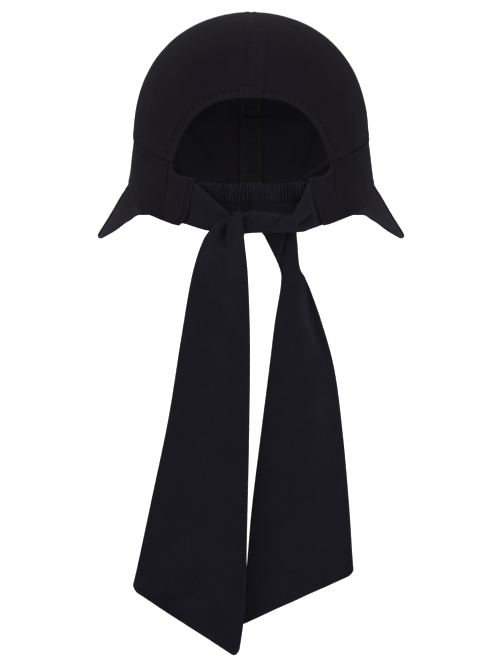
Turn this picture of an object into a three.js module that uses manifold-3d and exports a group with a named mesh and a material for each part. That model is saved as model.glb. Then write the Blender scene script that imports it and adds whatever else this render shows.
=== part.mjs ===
// Sun cap of dark cloth: a six-panel crown on a band, a curved peak in front, a half-moon opening at the back
// with a gathered elastic below it, and two flared ties knotted over the elastic with long hanging tails.
// Millimetres, +Z up. The peak points to +Y, the opening to -Y. The origin is the middle of the head opening.
// An azimuth runs from the centre back (0) by the right side (+X, 90) to the centre front (180), in degrees.

import * as THREE from "three";
import { mergeVertices } from "three/addons/utils/BufferGeometryUtils.js";
import Module from "manifold-3d";

const wasm = await Module();
wasm.setup();

// Driving dimensions: the head ring and the dome
const clothWall = 1.6;
const seamGap = 0.4; // clearance between pieces that are sewn together
const seamTurn = 0.14; // half of that clearance round the band, in degrees
const rimHalfWidth = 85.2; // outside, at the lower edge
const rimHalfLength = 99.5;
const yokeHalfWidth = 80.2; // outside, where the band's slope meets the dome
const yokeHalfLength = 95.5;
const yokeHeight = 39;
const domeRise = 88; // from there to the top of the crown
const domeFullness = 2.2; // exponent of the dome's section, where 2 is an ellipse
const panelCount = 6;
const panelBulge = 0.5; // how far a panel's middle stands out between its seams
const crownTipRise = 0.9965; // share of the quarter turn at which the panels end, just short of the top
const panelColumns = 8;
const panelRows = 12;

// Driving dimensions: the opening, the tabs and the elastic at the back
const openingHalfWidth = 53.1; // at the top of its lower corners
const openingSill = 31; // lower edge of the opening
const openingCorner = 7; // radius of its two lower corners
const openingTop = 84.5;
const openingFullness = 2.9; // exponent of its arch
const openingTaper = 0.24; // share of its width lost towards the top
const facingWidth = 8;
const facingWall = 1.2;
const tabStart = 43; // azimuth of the seam between the band and the tab
const tabEndLeft = { low: 30.6, high: 26.4, cornerCut: 3.2 }; // azimuths of the slanted free end
const tabEndRight = { low: 33.6, high: 27.3, cornerCut: 0.4 };
const tabCornerHeight = 8; // over this height the lower corner is cut back
const elasticReach = { left: 34.5, right: 35.5 }; // azimuths that the elastic's ends reach, under the tabs
const elasticFoot = -1;
const elasticHead = 27.8;
const elasticWall = 2;
const gatherCount = 40;
const gatherDepth = 1.4;

// Driving dimensions: the tape inside the centre front seam
const tapeWidth = 15;
const tapeWall = 1;
const tapeTopRise = 0.86; // share of the quarter turn of the dome that the tape climbs

// Driving dimensions: the peak and the ties
const peakWall = 2.6;
const peakHalfTurn = 95; // degrees to each side of the centre front
const tieRootHead = 27.5; // a tie starts between these heights, at the free end of its tab
const tieRootFoot = -1.4;
const tieRootTurn = 0.45; // and this far from the tab's end, in degrees
const tieRootThick = 1.5;
const tieEdgeSharpness = 4; // exponent of a tie's section: 2 is an ellipse, more is flatter
const tieStepsAcross = 9;
const tieStepsPerRow = 3;

// Height of the band's lower edge, by the turn away from the centre front
const rimRows = [
  { turn: 0, height: -12.4 },
  { turn: 20, height: -9.4 },
  { turn: 31, height: -2.8 },
  { turn: 38, height: 3 },
  { turn: 46, height: 8.3 },
  { turn: 60, height: 10.5 },
  { turn: 90, height: 10.5 },
  { turn: 104, height: 8.5 },
  { turn: 112, height: 2.6 },
  { turn: 119, height: 1 },
  { turn: 130, height: 0.3 },
  { turn: 138, height: -1 },
  { turn: 144, height: -1.8 },
  { turn: 180, height: -2.2 },
];

// Height of the yoke seam between the band and the crown, by the same turn
const yokeRows = [
  { turn: 0, height: 42.5 },
  { turn: 60, height: 43 },
  { turn: 90, height: 44.3 },
  { turn: 120, height: 42 },
  { turn: 137, height: 39.2 },
  { turn: 180, height: 39 },
];

// The peak's reach from the band and its fall below the level, by the turn away from the centre front
const peakRows = [
  { turn: 0, reach: 66, fall: 24 },
  { turn: 20, reach: 64, fall: 26.5 },
  { turn: 35, reach: 60.5, fall: 33.2 },
  { turn: 43, reach: 59, fall: 43.4 },
  { turn: 52, reach: 60, fall: 50.7 },
  { turn: 62, reach: 60, fall: 54 },
  { turn: 67, reach: 56, fall: 55 },
  { turn: 75, reach: 39.5, fall: 58 },
  { turn: 80, reach: 25, fall: 59.5 },
  { turn: 88, reach: 8.5, fall: 60.5 },
  { turn: 95, reach: 1.5, fall: 61 },
];

// Sections of the right-hand tie past its tab, ending in the left-hand tail: two edges, thickness and hollow
const rightTieRows = [
  { at: "over the elastic", first: [34.1, -91.3, 20.6], second: [37.9, -90, -3], thick: 2, cup: 0.5 },
  { at: "drawn in", first: [30.6, -97, 14.8], second: [33.4, -97.4, -3], thick: 3, cup: 0.8 },
  { at: "knot, right", first: [26.3, -102.5, 9.8], second: [28.8, -103.2, -2.2], thick: 4, cup: 0 },
  { at: "strand", first: [19.3, -108, 10.4], second: [20, -108.4, -1.3], thick: 4.6, cup: 0 },
  { at: "knot, front", first: [7.5, -110.5, 13], second: [7.5, -110.5, -0.8], thick: 4.6, cup: 0 },
  { at: "knot, left", first: [-3.4, -110.6, 12.6], second: [-5.2, -110.6, -1.7], thick: 4.2, cup: 0 },
  { at: "knot, turning down", first: [-8.8, -110.2, 7.6], second: [-6.4, -109.9, -3.4], thick: 3.4, cup: 0 },
  { at: "knot, foot", first: [-13.5, -108.9, -3.2], second: [-5.2, -108.3, -5], thick: 2.8, cup: 0 },
  { at: "under the other tie", first: [-14.5, -103, -5], second: [-4.6, -103, -5.4], thick: 2.4, cup: 0 },
  { at: "behind, low", first: [-14.5, -99.4, -1], second: [-4, -99.4, -1], thick: 2.2, cup: 0 },
  { at: "behind, high", first: [-14.3, -99.4, 6.8], second: [-4, -99.4, 6.8], thick: 2.2, cup: 0 },
  { at: "over the top", first: [-13.4, -103.8, 11.4], second: [-4.6, -103.8, 11.6], thick: 2.4, cup: 0 },
  { at: "knot, brow", first: [-12.9, -111.6, 10.4], second: [-6, -112, 12], thick: 2.4, cup: 0 },
  { at: "shoulder", first: [-19.2, -115.6, 8], second: [-5.7, -116.2, 8.4], thick: 2.4, cup: 1 },
  { at: "lobe", first: [-25.2, -116, 3.6], second: [-5, -117, 3.6], thick: 2.2, cup: 2 },
  { at: "tail, top", first: [-31.6, -115.5, -5.4], second: [-4.2, -117, -5], thick: 1.8, cup: 2.5 },
  { at: "tail, upper", first: [-39, -115.5, -29], second: [-1.9, -116.5, -29], thick: 1.6, cup: 2 },
  { at: "tail, middle", first: [-46.4, -115.5, -72], second: [-0.5, -115.5, -72], thick: 1.6, cup: 1.5 },
  { at: "tail, lower", first: [-55, -115.5, -126], second: [-0.9, -115.5, -126], thick: 1.6, cup: 1 },
  { at: "tail, low", first: [-66.8, -115.5, -183], second: [-2.1, -115.5, -187], thick: 1.6, cup: 1 },
  { at: "above the hem", first: [-75.4, -115.5, -224], second: [-4, -115.5, -254], thick: 1.6, cup: 0.5 },
  { at: "hem", first: [-79.8, -115.5, -243], second: [-8.4, -115.5, -291.4], thick: 1.4, cup: 0 },
];

// Sections of the left-hand tie, which passes through the loop above and ends in the right-hand tail
const leftTieRows = [
  { at: "over the elastic", first: [-29.8, -92.4, 23], second: [-36, -90.2, -1.6], thick: 2, cup: -0.5 },
  { at: "drawn in", first: [-23, -97.3, 17.6], second: [-27.5, -97, -2.4], thick: 2.8, cup: -0.5 },
  { at: "knot, left", first: [-15, -103.3, 11.4], second: [-17, -103.3, -2], thick: 3, cup: 0 },
  { at: "through the loop", first: [-8.8, -104.1, 8.4], second: [-8.8, -104.1, -1.6], thick: 3.4, cup: 0 },
  { at: "behind the strand", first: [3, -103, 10.4], second: [1.5, -103, -1.2], thick: 3, cup: 0 },
  { at: "fanning out", first: [16, -100.5, 10.2], second: [4.6, -101.8, -1.4], thick: 2.8, cup: 0 },
  { at: "turning down", first: [28.2, -96.2, 6.5], second: [7.3, -100.6, -3.4], thick: 2.6, cup: 0 },
  { at: "tail, top", first: [30.4, -97.6, -8], second: [10.2, -99.5, -8.5], thick: 2.6, cup: -1 },
  { at: "tail, neck", first: [32.2, -101, -26], second: [18.3, -101.5, -25.5], thick: 3.4, cup: -1 },
  { at: "below the neck", first: [37.8, -102, -37.5], second: [19.6, -102, -36.5], thick: 3, cup: -1.5 },
  { at: "tail, upper", first: [46.9, -102, -63], second: [15.5, -102, -63], thick: 2, cup: -2 },
  { at: "tail, middle", first: [55.6, -102, -96], second: [11.6, -102, -96], thick: 1.6, cup: -1.5 },
  { at: "tail, lower", first: [61.3, -102, -140], second: [6.2, -102, -140], thick: 1.6, cup: -1 },
  { at: "tail, low", first: [65.6, -102, -187], second: [0, -102, -193], thick: 1.6, cup: -1 },
  { at: "above the hem", first: [68, -102, -222], second: [-5.4, -102, -246], thick: 1.6, cup: -0.5 },
  { at: "hem", first: [69.2, -102, -236], second: [-6.6, -102, -272], thick: 1.4, cup: 0 },
];

// Main folds of the ties, counted in rows from the tab: the share across at both ends, height and half width
const rightTieFolds = [
  { start: 0.2, end: 3.6, from: 0.42, to: 0.3, height: 1.5, width: 3 },
  { start: 0.3, end: 3.6, from: 0.66, to: 0.5, height: -1.4, width: 2.6 },
  { start: 13.2, end: 16.4, from: 0.6, to: 0.52, height: -3, width: 3 },
  { start: 14, end: 17, from: 0.2, to: 0.24, height: 1.5, width: 5 },
  { start: 16, end: 21, from: 0.62, to: 0.5, height: 0.8, width: 9 },
];
const leftTieFolds = [
  { start: 0.3, end: 3, from: 0.5, to: 0.35, height: 0.7, width: 3 },
  { start: 7.1, end: 9.1, from: 0.25, to: 0.95, height: 1.2, width: 2.4 },
  { start: 10.2, end: 14.8, from: 0.24, to: 0.3, height: -1.2, width: 8 },
  { start: 10.6, end: 14.6, from: 0.66, to: 0.6, height: 1.5, width: 7 },
];

const { lerp, degToRad } = THREE.MathUtils;

// A smooth curve through the rows of a table: the value in one column where the key column equals x
function smoothAt(keys, values, x) {
  const last = keys.length - 1;
  let i = 0;
  while (i < last - 1 && x > keys[i + 1]) i += 1;
  const slopeAt = (k) => {
    const before = Math.max(k - 1, 0);
    const after = Math.min(k + 1, last);
    return (values[after] - values[before]) / (keys[after] - keys[before]);
  };
  const span = keys[i + 1] - keys[i];
  const t = (x - keys[i]) / span;
  const stay = 2 * t ** 3 - 3 * t ** 2 + 1;
  const leave = t ** 3 - 2 * t ** 2 + t;
  const arrive = t ** 3 - t ** 2;
  const swing = span * (slopeAt(i) * leave + slopeAt(i + 1) * arrive);
  return values[i] * stay + values[i + 1] * (1 - stay) + swing;
}

function columnAt(rows, key, column, x) {
  return smoothAt(rows.map((row) => row[key]), rows.map((row) => row[column]), x);
}

const turnFromFront = (azimuth) => Math.abs(180 - Math.abs(azimuth));

const rimHeight = (azimuth) => columnAt(rimRows, "turn", "height", turnFromFront(azimuth));
const yokeSeam = (azimuth) => columnAt(yokeRows, "turn", "height", turnFromFront(azimuth));

function ringPoint(azimuth, halfWidth, halfLength, height) {
  const angle = degToRad(azimuth);
  return new THREE.Vector3(halfWidth * Math.sin(angle), -halfLength * Math.cos(angle), height);
}

// A point of the band's slope, flaring from the dome down to the lower edge
function bandPoint(azimuth, height, inset) {
  const share = height / yokeHeight;
  const halfWidth = lerp(rimHalfWidth, yokeHalfWidth, share) - inset;
  const halfLength = lerp(rimHalfLength, yokeHalfLength, share) - inset;
  return ringPoint(azimuth, halfWidth, halfLength, height);
}

// How wide and how high the dome is, as shares, at a share of the quarter turn from its foot to the top
function domeShares(rise) {
  const angle = (rise * Math.PI) / 2;
  return { spread: Math.cos(angle) ** (2 / domeFullness), climb: Math.sin(angle) ** (2 / domeFullness) };
}

function domePoint(azimuth, rise, inset) {
  const { spread, climb } = domeShares(rise);
  const crest = Math.abs(Math.sin((panelCount / 2) * degToRad(azimuth))) * Math.sin(rise * Math.PI);
  const offset = panelBulge * crest - inset;
  const height = yokeHeight + (domeRise + offset) * climb;
  return ringPoint(azimuth, (yokeHalfWidth + offset) * spread, (yokeHalfLength + offset) * spread, height);
}

// The share of the quarter turn at which the dome reaches a height
function riseAt(height) {
  const climb = Math.max((height - yokeHeight) / domeRise, 0);
  return (Math.asin(climb ** (domeFullness / 2)) * 2) / Math.PI;
}

// A point of the cap's side at a height: on the slope below, on the dome above
function wallPoint(azimuth, height, inset) {
  return height > yokeHeight ? domePoint(azimuth, riseAt(height), inset) : bandPoint(azimuth, height, inset);
}

// A closed shell between two walls: pointAt(u, v, side) gives the outer wall on side 0, the inner on side 1
function shellGeometry(pointAt, columns, rows) {
  const positions = [];
  const indices = [];
  const at = (side, column, row) => (side * (rows + 1) + row) * (columns + 1) + column;
  const quad = (a, b, c, d) => indices.push(a, b, c, a, c, d);
  for (let side = 0; side < 2; side += 1) {
    for (let row = 0; row <= rows; row += 1) {
      for (let column = 0; column <= columns; column += 1) {
        positions.push(...pointAt(column / columns, row / rows, side).toArray());
      }
    }
  }
  for (let row = 0; row < rows; row += 1) {
    for (let column = 0; column < columns; column += 1) {
      quad(at(0, column, row), at(0, column + 1, row), at(0, column + 1, row + 1), at(0, column, row + 1));
      quad(at(1, column, row), at(1, column, row + 1), at(1, column + 1, row + 1), at(1, column + 1, row));
    }
    quad(at(0, 0, row), at(0, 0, row + 1), at(1, 0, row + 1), at(1, 0, row));
    quad(at(0, columns, row), at(1, columns, row), at(1, columns, row + 1), at(0, columns, row + 1));
  }
  for (let column = 0; column < columns; column += 1) {
    quad(at(0, column, 0), at(1, column, 0), at(1, column + 1, 0), at(0, column + 1, 0));
    quad(at(0, column, rows), at(0, column + 1, rows), at(1, column + 1, rows), at(1, column, rows));
  }
  return indexedGeometry(positions, indices);
}

function indexedGeometry(positions, indices) {
  const geometry = new THREE.BufferGeometry();
  geometry.setAttribute("position", new THREE.Float32BufferAttribute(positions, 3));
  geometry.setIndex(indices);
  return geometry;
}

function toManifold(geometry) {
  const bare = geometry.clone();
  bare.deleteAttribute("normal");
  bare.deleteAttribute("uv");
  const merged = mergeVertices(bare);
  const vertProperties = new Float32Array(merged.attributes.position.array);
  const triVerts = new Uint32Array(merged.index.array);
  return new wasm.Manifold(new wasm.Mesh({ numProp: 3, vertProperties, triVerts }));
}

function fromManifold(solid) {
  const { vertProperties, triVerts } = solid.getMesh();
  return indexedGeometry(Array.from(vertProperties), Array.from(triVerts));
}

// A prism along Y with the opening's outline, grown outwards by some millimetres
function openingPrism(grow) {
  const archSteps = 28;
  const nearest = -40;
  const depth = 80;
  const halfWidth = openingHalfWidth + grow;
  const foot = openingSill + openingCorner;
  const corner = openingCorner + grow;
  const rise = openingTop + grow - foot;
  const outline = new THREE.Shape();
  outline.moveTo(halfWidth, foot);
  for (let step = 1; step < archSteps; step += 1) {
    const angle = (Math.PI * step) / archSteps;
    const climb = Math.sin(angle) ** (2 / openingFullness);
    const spread = Math.abs(Math.cos(angle)) ** (2 / openingFullness) * (1 - openingTaper * climb);
    outline.lineTo(Math.sign(Math.cos(angle)) * halfWidth * spread, foot + rise * climb);
  }
  outline.lineTo(-halfWidth, foot);
  outline.absarc(-halfWidth + corner, foot, corner, Math.PI, 1.5 * Math.PI, false);
  outline.absarc(halfWidth - corner, foot, corner, 1.5 * Math.PI, 2 * Math.PI, false);
  const prism = new THREE.ExtrudeGeometry(outline, { depth, bevelEnabled: false, curveSegments: 5 });
  prism.rotateX(Math.PI / 2);
  prism.translate(0, nearest, 0);
  return toManifold(prism);
}

const openingCut = openingPrism(0);

// One crown panel between two seams, ending in a tip at the top of the dome
function crownPanel(index) {
  const panelTurn = 360 / panelCount;
  const start = index * panelTurn;
  const pointAt = (u, v, side) => {
    const rise = lerp(riseAt(yokeSeam(start + panelTurn * u)), crownTipRise, v);
    const inset = side * clothWall;
    const seam = domePoint(start, rise, inset);
    const clear = THREE.MathUtils.radToDeg(Math.asin(seamGap / 2 / Math.hypot(seam.x, seam.y)));
    return domePoint(lerp(start + clear, start + panelTurn - clear, u), rise, inset);
  };
  return shellGeometry(pointAt, panelColumns, panelRows);
}

const cutByOpening = (geometry) => fromManifold(toManifold(geometry).subtract(openingCut));

// The strip behind the edge of the opening, between the opening's outline and the same outline grown
function openingFacing() {
  const halfTurn = 52.5;
  const columns = 14;
  const outerInset = clothWall + seamGap;
  const pointAt = (u, v, side) => {
    const rise = crownTipRise * v;
    return domePoint(lerp(-halfTurn, halfTurn, u), rise, outerInset + side * facingWall);
  };
  const cap = toManifold(shellGeometry(pointAt, columns, panelRows));
  return fromManifold(cap.intersect(openingPrism(facingWidth)).subtract(openingCut));
}

// Half of the band, from the tab's seam round to the centre front
function bandHalf(side) {
  const columns = 30;
  const rows = 3;
  const near = side * (tabStart + seamTurn);
  const far = side * (180 - seamTurn);
  const pointAt = (u, v, wall) => {
    const azimuth = lerp(Math.min(near, far), Math.max(near, far), u);
    const height = lerp(rimHeight(azimuth), yokeSeam(azimuth) - seamGap, v);
    return wallPoint(azimuth, height, wall * clothWall);
  };
  return shellGeometry(pointAt, columns, rows);
}

// Azimuth of a tab's slanted free end at a height
function tabSlant(end, height) {
  const foot = rimHeight(end.low);
  return lerp(end.low, end.high, Math.min((height - foot) / (openingSill - foot), 1));
}

// A tab between the band and the ties, cut round by the opening's lower corner
function tab(side, end) {
  const columns = 4;
  const rows = 10;
  const foot = rimHeight(end.low);
  const pointAt = (u, v, wall) => {
    const flat = lerp(foot, yokeHeight, v);
    const cornerCut = end.cornerCut * Math.max(1 - (flat - foot) / tabCornerHeight, 0) ** 2;
    const free = side * (tabSlant(end, flat) + cornerCut);
    const sewn = side * (tabStart - seamTurn);
    const azimuth = lerp(Math.min(free, sewn), Math.max(free, sewn), u);
    const height = lerp(rimHeight(azimuth), yokeSeam(azimuth) - seamGap, v);
    return wallPoint(azimuth, height, wall * clothWall);
  };
  return cutByOpening(shellGeometry(pointAt, columns, rows));
}

// The elastic casing, gathered into upright folds
function backElastic() {
  const rows = 2;
  const columns = 2 * gatherCount;
  const outerInset = clothWall + seamGap;
  const pointAt = (u, v, side) => {
    const fold = Math.round(u * columns) % 2;
    const inset = outerInset + fold * gatherDepth + side * elasticWall;
    const azimuth = lerp(-elasticReach.left, elasticReach.right, u);
    return bandPoint(azimuth, lerp(elasticFoot, elasticHead, v), inset);
  };
  return shellGeometry(pointAt, columns, rows);
}

// The tape over the centre front seam, inside: up the band and then up the dome
function frontSeamTape() {
  const rows = 14;
  const bandShare = 4 / rows;
  const outerInset = clothWall + 1.5 * seamGap;
  const footLift = 1; // above the band's lower edge
  const foot = rimHeight(180) + footLift;
  const pointAt = (u, v, side) => {
    const inset = outerInset + side * tapeWall;
    const across = lerp(tapeWidth / 2, -tapeWidth / 2, u);
    const onBand = v <= bandShare;
    const rise = onBand ? 0 : ((v - bandShare) / (1 - bandShare)) * tapeTopRise;
    const height = lerp(foot, yokeHeight, v / bandShare);
    const reach = onBand ? bandPoint(90, height, inset).x : domePoint(90, rise, inset).x;
    const azimuth = 180 - THREE.MathUtils.radToDeg(Math.asin(across / reach));
    return onBand ? bandPoint(azimuth, height, inset) : domePoint(azimuth, rise, inset);
  };
  return shellGeometry(pointAt, 2, rows);
}

// The peak: it leaves the band's lower edge, spreads outwards and falls away towards its sides
function peakGeometry() {
  const columns = 48;
  const rows = 5;
  const pointAt = (u, v, side) => {
    const azimuth = lerp(180 - peakHalfTurn, 180 + peakHalfTurn, u);
    const folded = azimuth > 180 ? azimuth - 360 : azimuth;
    const turn = turnFromFront(folded);
    const reach = columnAt(peakRows, "turn", "reach", turn) * v;
    const fall = degToRad(columnAt(peakRows, "turn", "fall", turn));
    const root = bandPoint(azimuth, rimHeight(folded) - seamGap, 0);
    const out = new THREE.Vector3(root.x / rimHalfWidth ** 2, root.y / rimHalfLength ** 2, 0).normalize();
    const slope = out.clone().multiplyScalar(Math.cos(fall)).setZ(-Math.sin(fall));
    const under = out.clone().multiplyScalar(-Math.sin(fall)).setZ(-Math.cos(fall));
    const depth = side === 0 ? peakWall : 0;
    return root.addScaledVector(slope, reach).addScaledVector(under, depth);
  };
  return shellGeometry(pointAt, columns, rows);
}

// The first section of a tie, which lies along the free end of its tab
function tieRoot(side, end) {
  const edgeAt = (height) => {
    const azimuth = side * (tabSlant(end, height) - tieRootTurn);
    return bandPoint(azimuth, height, clothWall / 2).toArray();
  };
  return { at: "tab", first: edgeAt(tieRootHead), second: edgeAt(tieRootFoot), thick: tieRootThick, cup: 0 };
}

// How far the folds push a point of a tie out of its section
function foldOffset(folds, place, u, width) {
  let offset = 0;
  for (const fold of folds) {
    const t = THREE.MathUtils.clamp((place - fold.start) / (fold.end - fold.start), 0, 1);
    const distance = (u - lerp(fold.from, fold.to, t)) * width;
    offset += fold.height * Math.sin(Math.PI * t) * Math.exp(-((distance / fold.width) ** 2));
  }
  return offset;
}

// The ring of points round one section of a tie: out along one face, back along the other
function tieRing(section, along, pushAt) {
  const first = new THREE.Vector3(...section.first);
  const second = new THREE.Vector3(...section.second);
  const across = second.clone().sub(first);
  const normal = along.clone().cross(across).normalize();
  const ring = [];
  for (let step = 0; step < 2 * tieStepsAcross; step += 1) {
    const face = step < tieStepsAcross ? 1 : -1;
    const u = face > 0 ? step / tieStepsAcross : 2 - step / tieStepsAcross;
    const offCentre = Math.abs(2 * u - 1);
    const half = (section.thick / 2) * (1 - offCentre ** tieEdgeSharpness) ** (1 / tieEdgeSharpness);
    const push = section.cup * 4 * u * (1 - u) + pushAt(u, across.length());
    ring.push(first.clone().addScaledVector(across, u).addScaledVector(normal, push + face * half));
  }
  return ring;
}

// A tie lofted through its table of sections, with smooth curves between the rows
function tieGeometry(rows, folds) {
  const keys = rows.map((row, index) => index);
  const last = rows.length - 1;
  const sectionAt = (place) => {
    const coordinate = (edge, axis) => smoothAt(keys, rows.map((row) => row[edge][axis]), place);
    return {
      first: [0, 1, 2].map((axis) => coordinate("first", axis)),
      second: [0, 1, 2].map((axis) => coordinate("second", axis)),
      thick: smoothAt(keys, rows.map((row) => row.thick), place),
      cup: smoothAt(keys, rows.map((row) => row.cup), place),
    };
  };
  const middleAt = (place) => {
    const { first, second } = sectionAt(THREE.MathUtils.clamp(place, 0, last));
    return new THREE.Vector3(...first).add(new THREE.Vector3(...second)).multiplyScalar(0.5);
  };
  const rings = [];
  const step = 1 / tieStepsPerRow;
  for (let index = 0; index <= last * tieStepsPerRow; index += 1) {
    const place = index * step;
    const along = middleAt(place + step / 2).sub(middleAt(place - step / 2)).normalize();
    const pushAt = (u, width) => foldOffset(folds, place, u, width);
    rings.push(tieRing(sectionAt(place), along, pushAt));
  }
  return loftGeometry(rings);
}

// A closed loft through rings of equal length, with a fan over each end
function loftGeometry(rings) {
  const count = rings[0].length;
  const lastRing = rings.length - 1;
  const positions = rings.flat().flatMap((point) => point.toArray());
  const indices = [];
  const at = (ring, step) => ring * count + (step % count);
  for (let ring = 0; ring < lastRing; ring += 1) {
    for (let step = 0; step < count; step += 1) {
      const [a, b] = [at(ring, step), at(ring + 1, step)];
      const [c, d] = [at(ring + 1, step + 1), at(ring, step + 1)];
      indices.push(a, b, c, a, c, d);
    }
  }
  for (const ring of [0, lastRing]) {
    const sum = rings[ring].reduce((total, point) => total.add(point), new THREE.Vector3());
    const hub = positions.push(...sum.divideScalar(count).toArray()) / 3 - 1;
    for (let step = 0; step < count; step += 1) {
      const [here, next] = [at(ring, step), at(ring, step + 1)];
      if (ring === 0) indices.push(hub, here, next);
      else indices.push(hub, next, here);
    }
  }
  return indexedGeometry(positions, indices);
}

const crownCloth = new THREE.MeshStandardMaterial({ color: 0x1e1c22, roughness: 0.85, metalness: 0 });
const bandCloth = new THREE.MeshStandardMaterial({ color: 0x1d1c21, roughness: 0.85, metalness: 0 });
const peakCloth = new THREE.MeshStandardMaterial({ color: 0x242228, roughness: 0.85, metalness: 0 });
const tieCloth = new THREE.MeshStandardMaterial({ color: 0x1c1b20, roughness: 0.8, metalness: 0 });
const elasticCloth = new THREE.MeshStandardMaterial({ color: 0x17161b, roughness: 0.9, metalness: 0 });
const tapeCloth = new THREE.MeshStandardMaterial({ color: 0x1a1a1b, roughness: 0.7, metalness: 0 });

const cap = new THREE.Group();

function addPiece(name, geometry, material) {
  const piece = new THREE.Mesh(geometry, material);
  piece.name = name;
  cap.add(piece);
}

const panelNames = ["back_right", "side_right", "front_right", "front_left", "side_left", "back_left"];
panelNames.forEach((place, index) => {
  const panel = crownPanel(index);
  addPiece(`crown_${place}`, place.startsWith("back") ? cutByOpening(panel) : panel, crownCloth);
});
addPiece("opening_facing", openingFacing(), crownCloth);
addPiece("band_left", bandHalf(-1), bandCloth);
addPiece("band_right", bandHalf(1), bandCloth);
addPiece("tab_left", tab(-1, tabEndLeft), bandCloth);
addPiece("tab_right", tab(1, tabEndRight), bandCloth);
addPiece("back_elastic", backElastic(), elasticCloth);
addPiece("front_seam_tape", frontSeamTape(), tapeCloth);
addPiece("peak", peakGeometry(), peakCloth);
addPiece("tie_left", tieGeometry([tieRoot(-1, tabEndLeft), ...leftTieRows], leftTieFolds), tieCloth);
addPiece("tie_right", tieGeometry([tieRoot(1, tabEndRight), ...rightTieRows], rightTieFolds), tieCloth);

export default cap;
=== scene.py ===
import math
import bpy
import numpy as np
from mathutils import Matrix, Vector, noise


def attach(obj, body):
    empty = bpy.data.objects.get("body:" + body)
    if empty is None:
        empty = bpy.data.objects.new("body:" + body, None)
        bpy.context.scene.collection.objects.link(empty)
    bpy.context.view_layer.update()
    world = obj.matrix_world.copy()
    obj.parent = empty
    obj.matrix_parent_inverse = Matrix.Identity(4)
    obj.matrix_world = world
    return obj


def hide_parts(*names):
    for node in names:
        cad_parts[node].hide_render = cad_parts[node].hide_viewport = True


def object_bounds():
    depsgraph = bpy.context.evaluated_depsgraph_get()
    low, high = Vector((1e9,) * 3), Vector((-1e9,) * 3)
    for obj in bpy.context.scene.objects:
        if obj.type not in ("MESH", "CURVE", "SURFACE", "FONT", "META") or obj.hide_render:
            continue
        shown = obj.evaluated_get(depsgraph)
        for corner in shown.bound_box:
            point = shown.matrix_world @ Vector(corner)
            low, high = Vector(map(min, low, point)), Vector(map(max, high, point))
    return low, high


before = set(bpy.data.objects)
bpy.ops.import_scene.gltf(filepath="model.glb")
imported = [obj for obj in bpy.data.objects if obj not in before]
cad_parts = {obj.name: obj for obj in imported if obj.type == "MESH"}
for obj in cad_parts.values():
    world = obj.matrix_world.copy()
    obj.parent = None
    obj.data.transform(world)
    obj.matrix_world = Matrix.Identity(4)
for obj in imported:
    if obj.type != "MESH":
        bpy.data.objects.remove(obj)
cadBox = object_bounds()
mm = 0.001  # the pieces are worked out in millimetres, the peak towards +Y and the opening towards -Y

# The view: from behind and a little above, as the photo has it
viewSetup = {
    "target": (-0.0007, 0.0, -0.094),
    "distance": 2.6,
    "pitch": 13.0,
    "imageHeight": 667,
    "metresPerPixel": 0.0006885,  # at the target
    "sensorHeight": 24.0,
    "clipEnd": 60.0,
}


def linked(name, data):
    thing = bpy.data.objects.new(name, data)
    bpy.context.collection.objects.link(thing)
    return thing


def turnTowards(direction):
    return direction.to_track_quat("-Z", "Y").to_euler()


def addCamera(setup):
    data = bpy.data.cameras.new("viewCamera")
    data.sensor_fit = "VERTICAL"
    data.sensor_height = setup["sensorHeight"]
    seenHeight = setup["imageHeight"] * setup["metresPerPixel"]
    data.lens = setup["sensorHeight"] * setup["distance"] / seenHeight
    data.clip_end = setup["clipEnd"]
    pitch = math.radians(setup["pitch"])
    away = Vector((0.0, -math.cos(pitch), math.sin(pitch)))
    camera = linked("viewCamera", data)
    camera.location = Vector(setup["target"]) + away * setup["distance"]
    camera.rotation_euler = turnTowards(-away)
    bpy.context.scene.camera = camera


addCamera(viewSetup)


# Helpers for node trees: a value is set and an output of another node is linked
def setInputs(tree, node, inputs):
    for key, value in inputs.items():
        if isinstance(key, int):
            socket = node.inputs[key]
        else:
            socket = next(s for s in node.inputs if s.enabled and s.name == key)
        if isinstance(value, bpy.types.NodeSocket):
            tree.links.new(value, socket)
        else:
            socket.default_value = value


def addNode(tree, kind, inputs=None, output=None, **settings):
    # Gives the named output, or else the first one in use
    node = tree.nodes.new(kind)
    for key, value in settings.items():
        setattr(node, key, value)
    setInputs(tree, node, inputs or {})
    if output:
        return node.outputs[output]
    return next(s for s in node.outputs if s.enabled)


def mathNode(tree, operation, *values):
    return addNode(tree, "ShaderNodeMath", dict(enumerate(values)), operation=operation)


def noiseNode(tree, place, scale, detail):
    return addNode(tree, "ShaderNodeTexNoise", {"Vector": place, "Scale": scale, "Detail": detail})


def toneNode(tree, factor, look, **settings):
    ends = {"Factor": factor, 6: (*look["dark"], 1), 7: (*look["light"], 1)}
    return addNode(tree, "ShaderNodeMix", ends, data_type="RGBA", **settings)


def newMaterial(name):
    material = bpy.data.materials.new(name)
    material.use_nodes = True
    return material, material.node_tree, material.node_tree.nodes["Principled BSDF"]


# Light and floor
lightSetup = {
    "worldStrength": 1.12,
    "floorSize": 16.0,
    "floorDrop": 0.10,  # below the lower tail's tip
    "panels": [
        {"name": "topSoft", "place": (0.0, -0.6, 1.9), "size": 2.2, "power": 22.0},
        {"name": "leftSoft", "place": (-2.3, -2.2, 1.4), "size": 2.0, "power": 27.5},
        {"name": "rightSoft", "place": (2.6, -1.4, 1.0), "size": 2.0, "power": 19.0},
        {"name": "frontSoft", "place": (-0.4, 2.7, 1.1), "size": 1.8, "power": 24.0},
    ],
}
floorLook = {"dark": (0.9, 0.9, 0.9), "light": (0.93, 0.93, 0.93), "grain": 3.0,
             "roughness": 0.9, "specular": 0.1}


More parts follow.
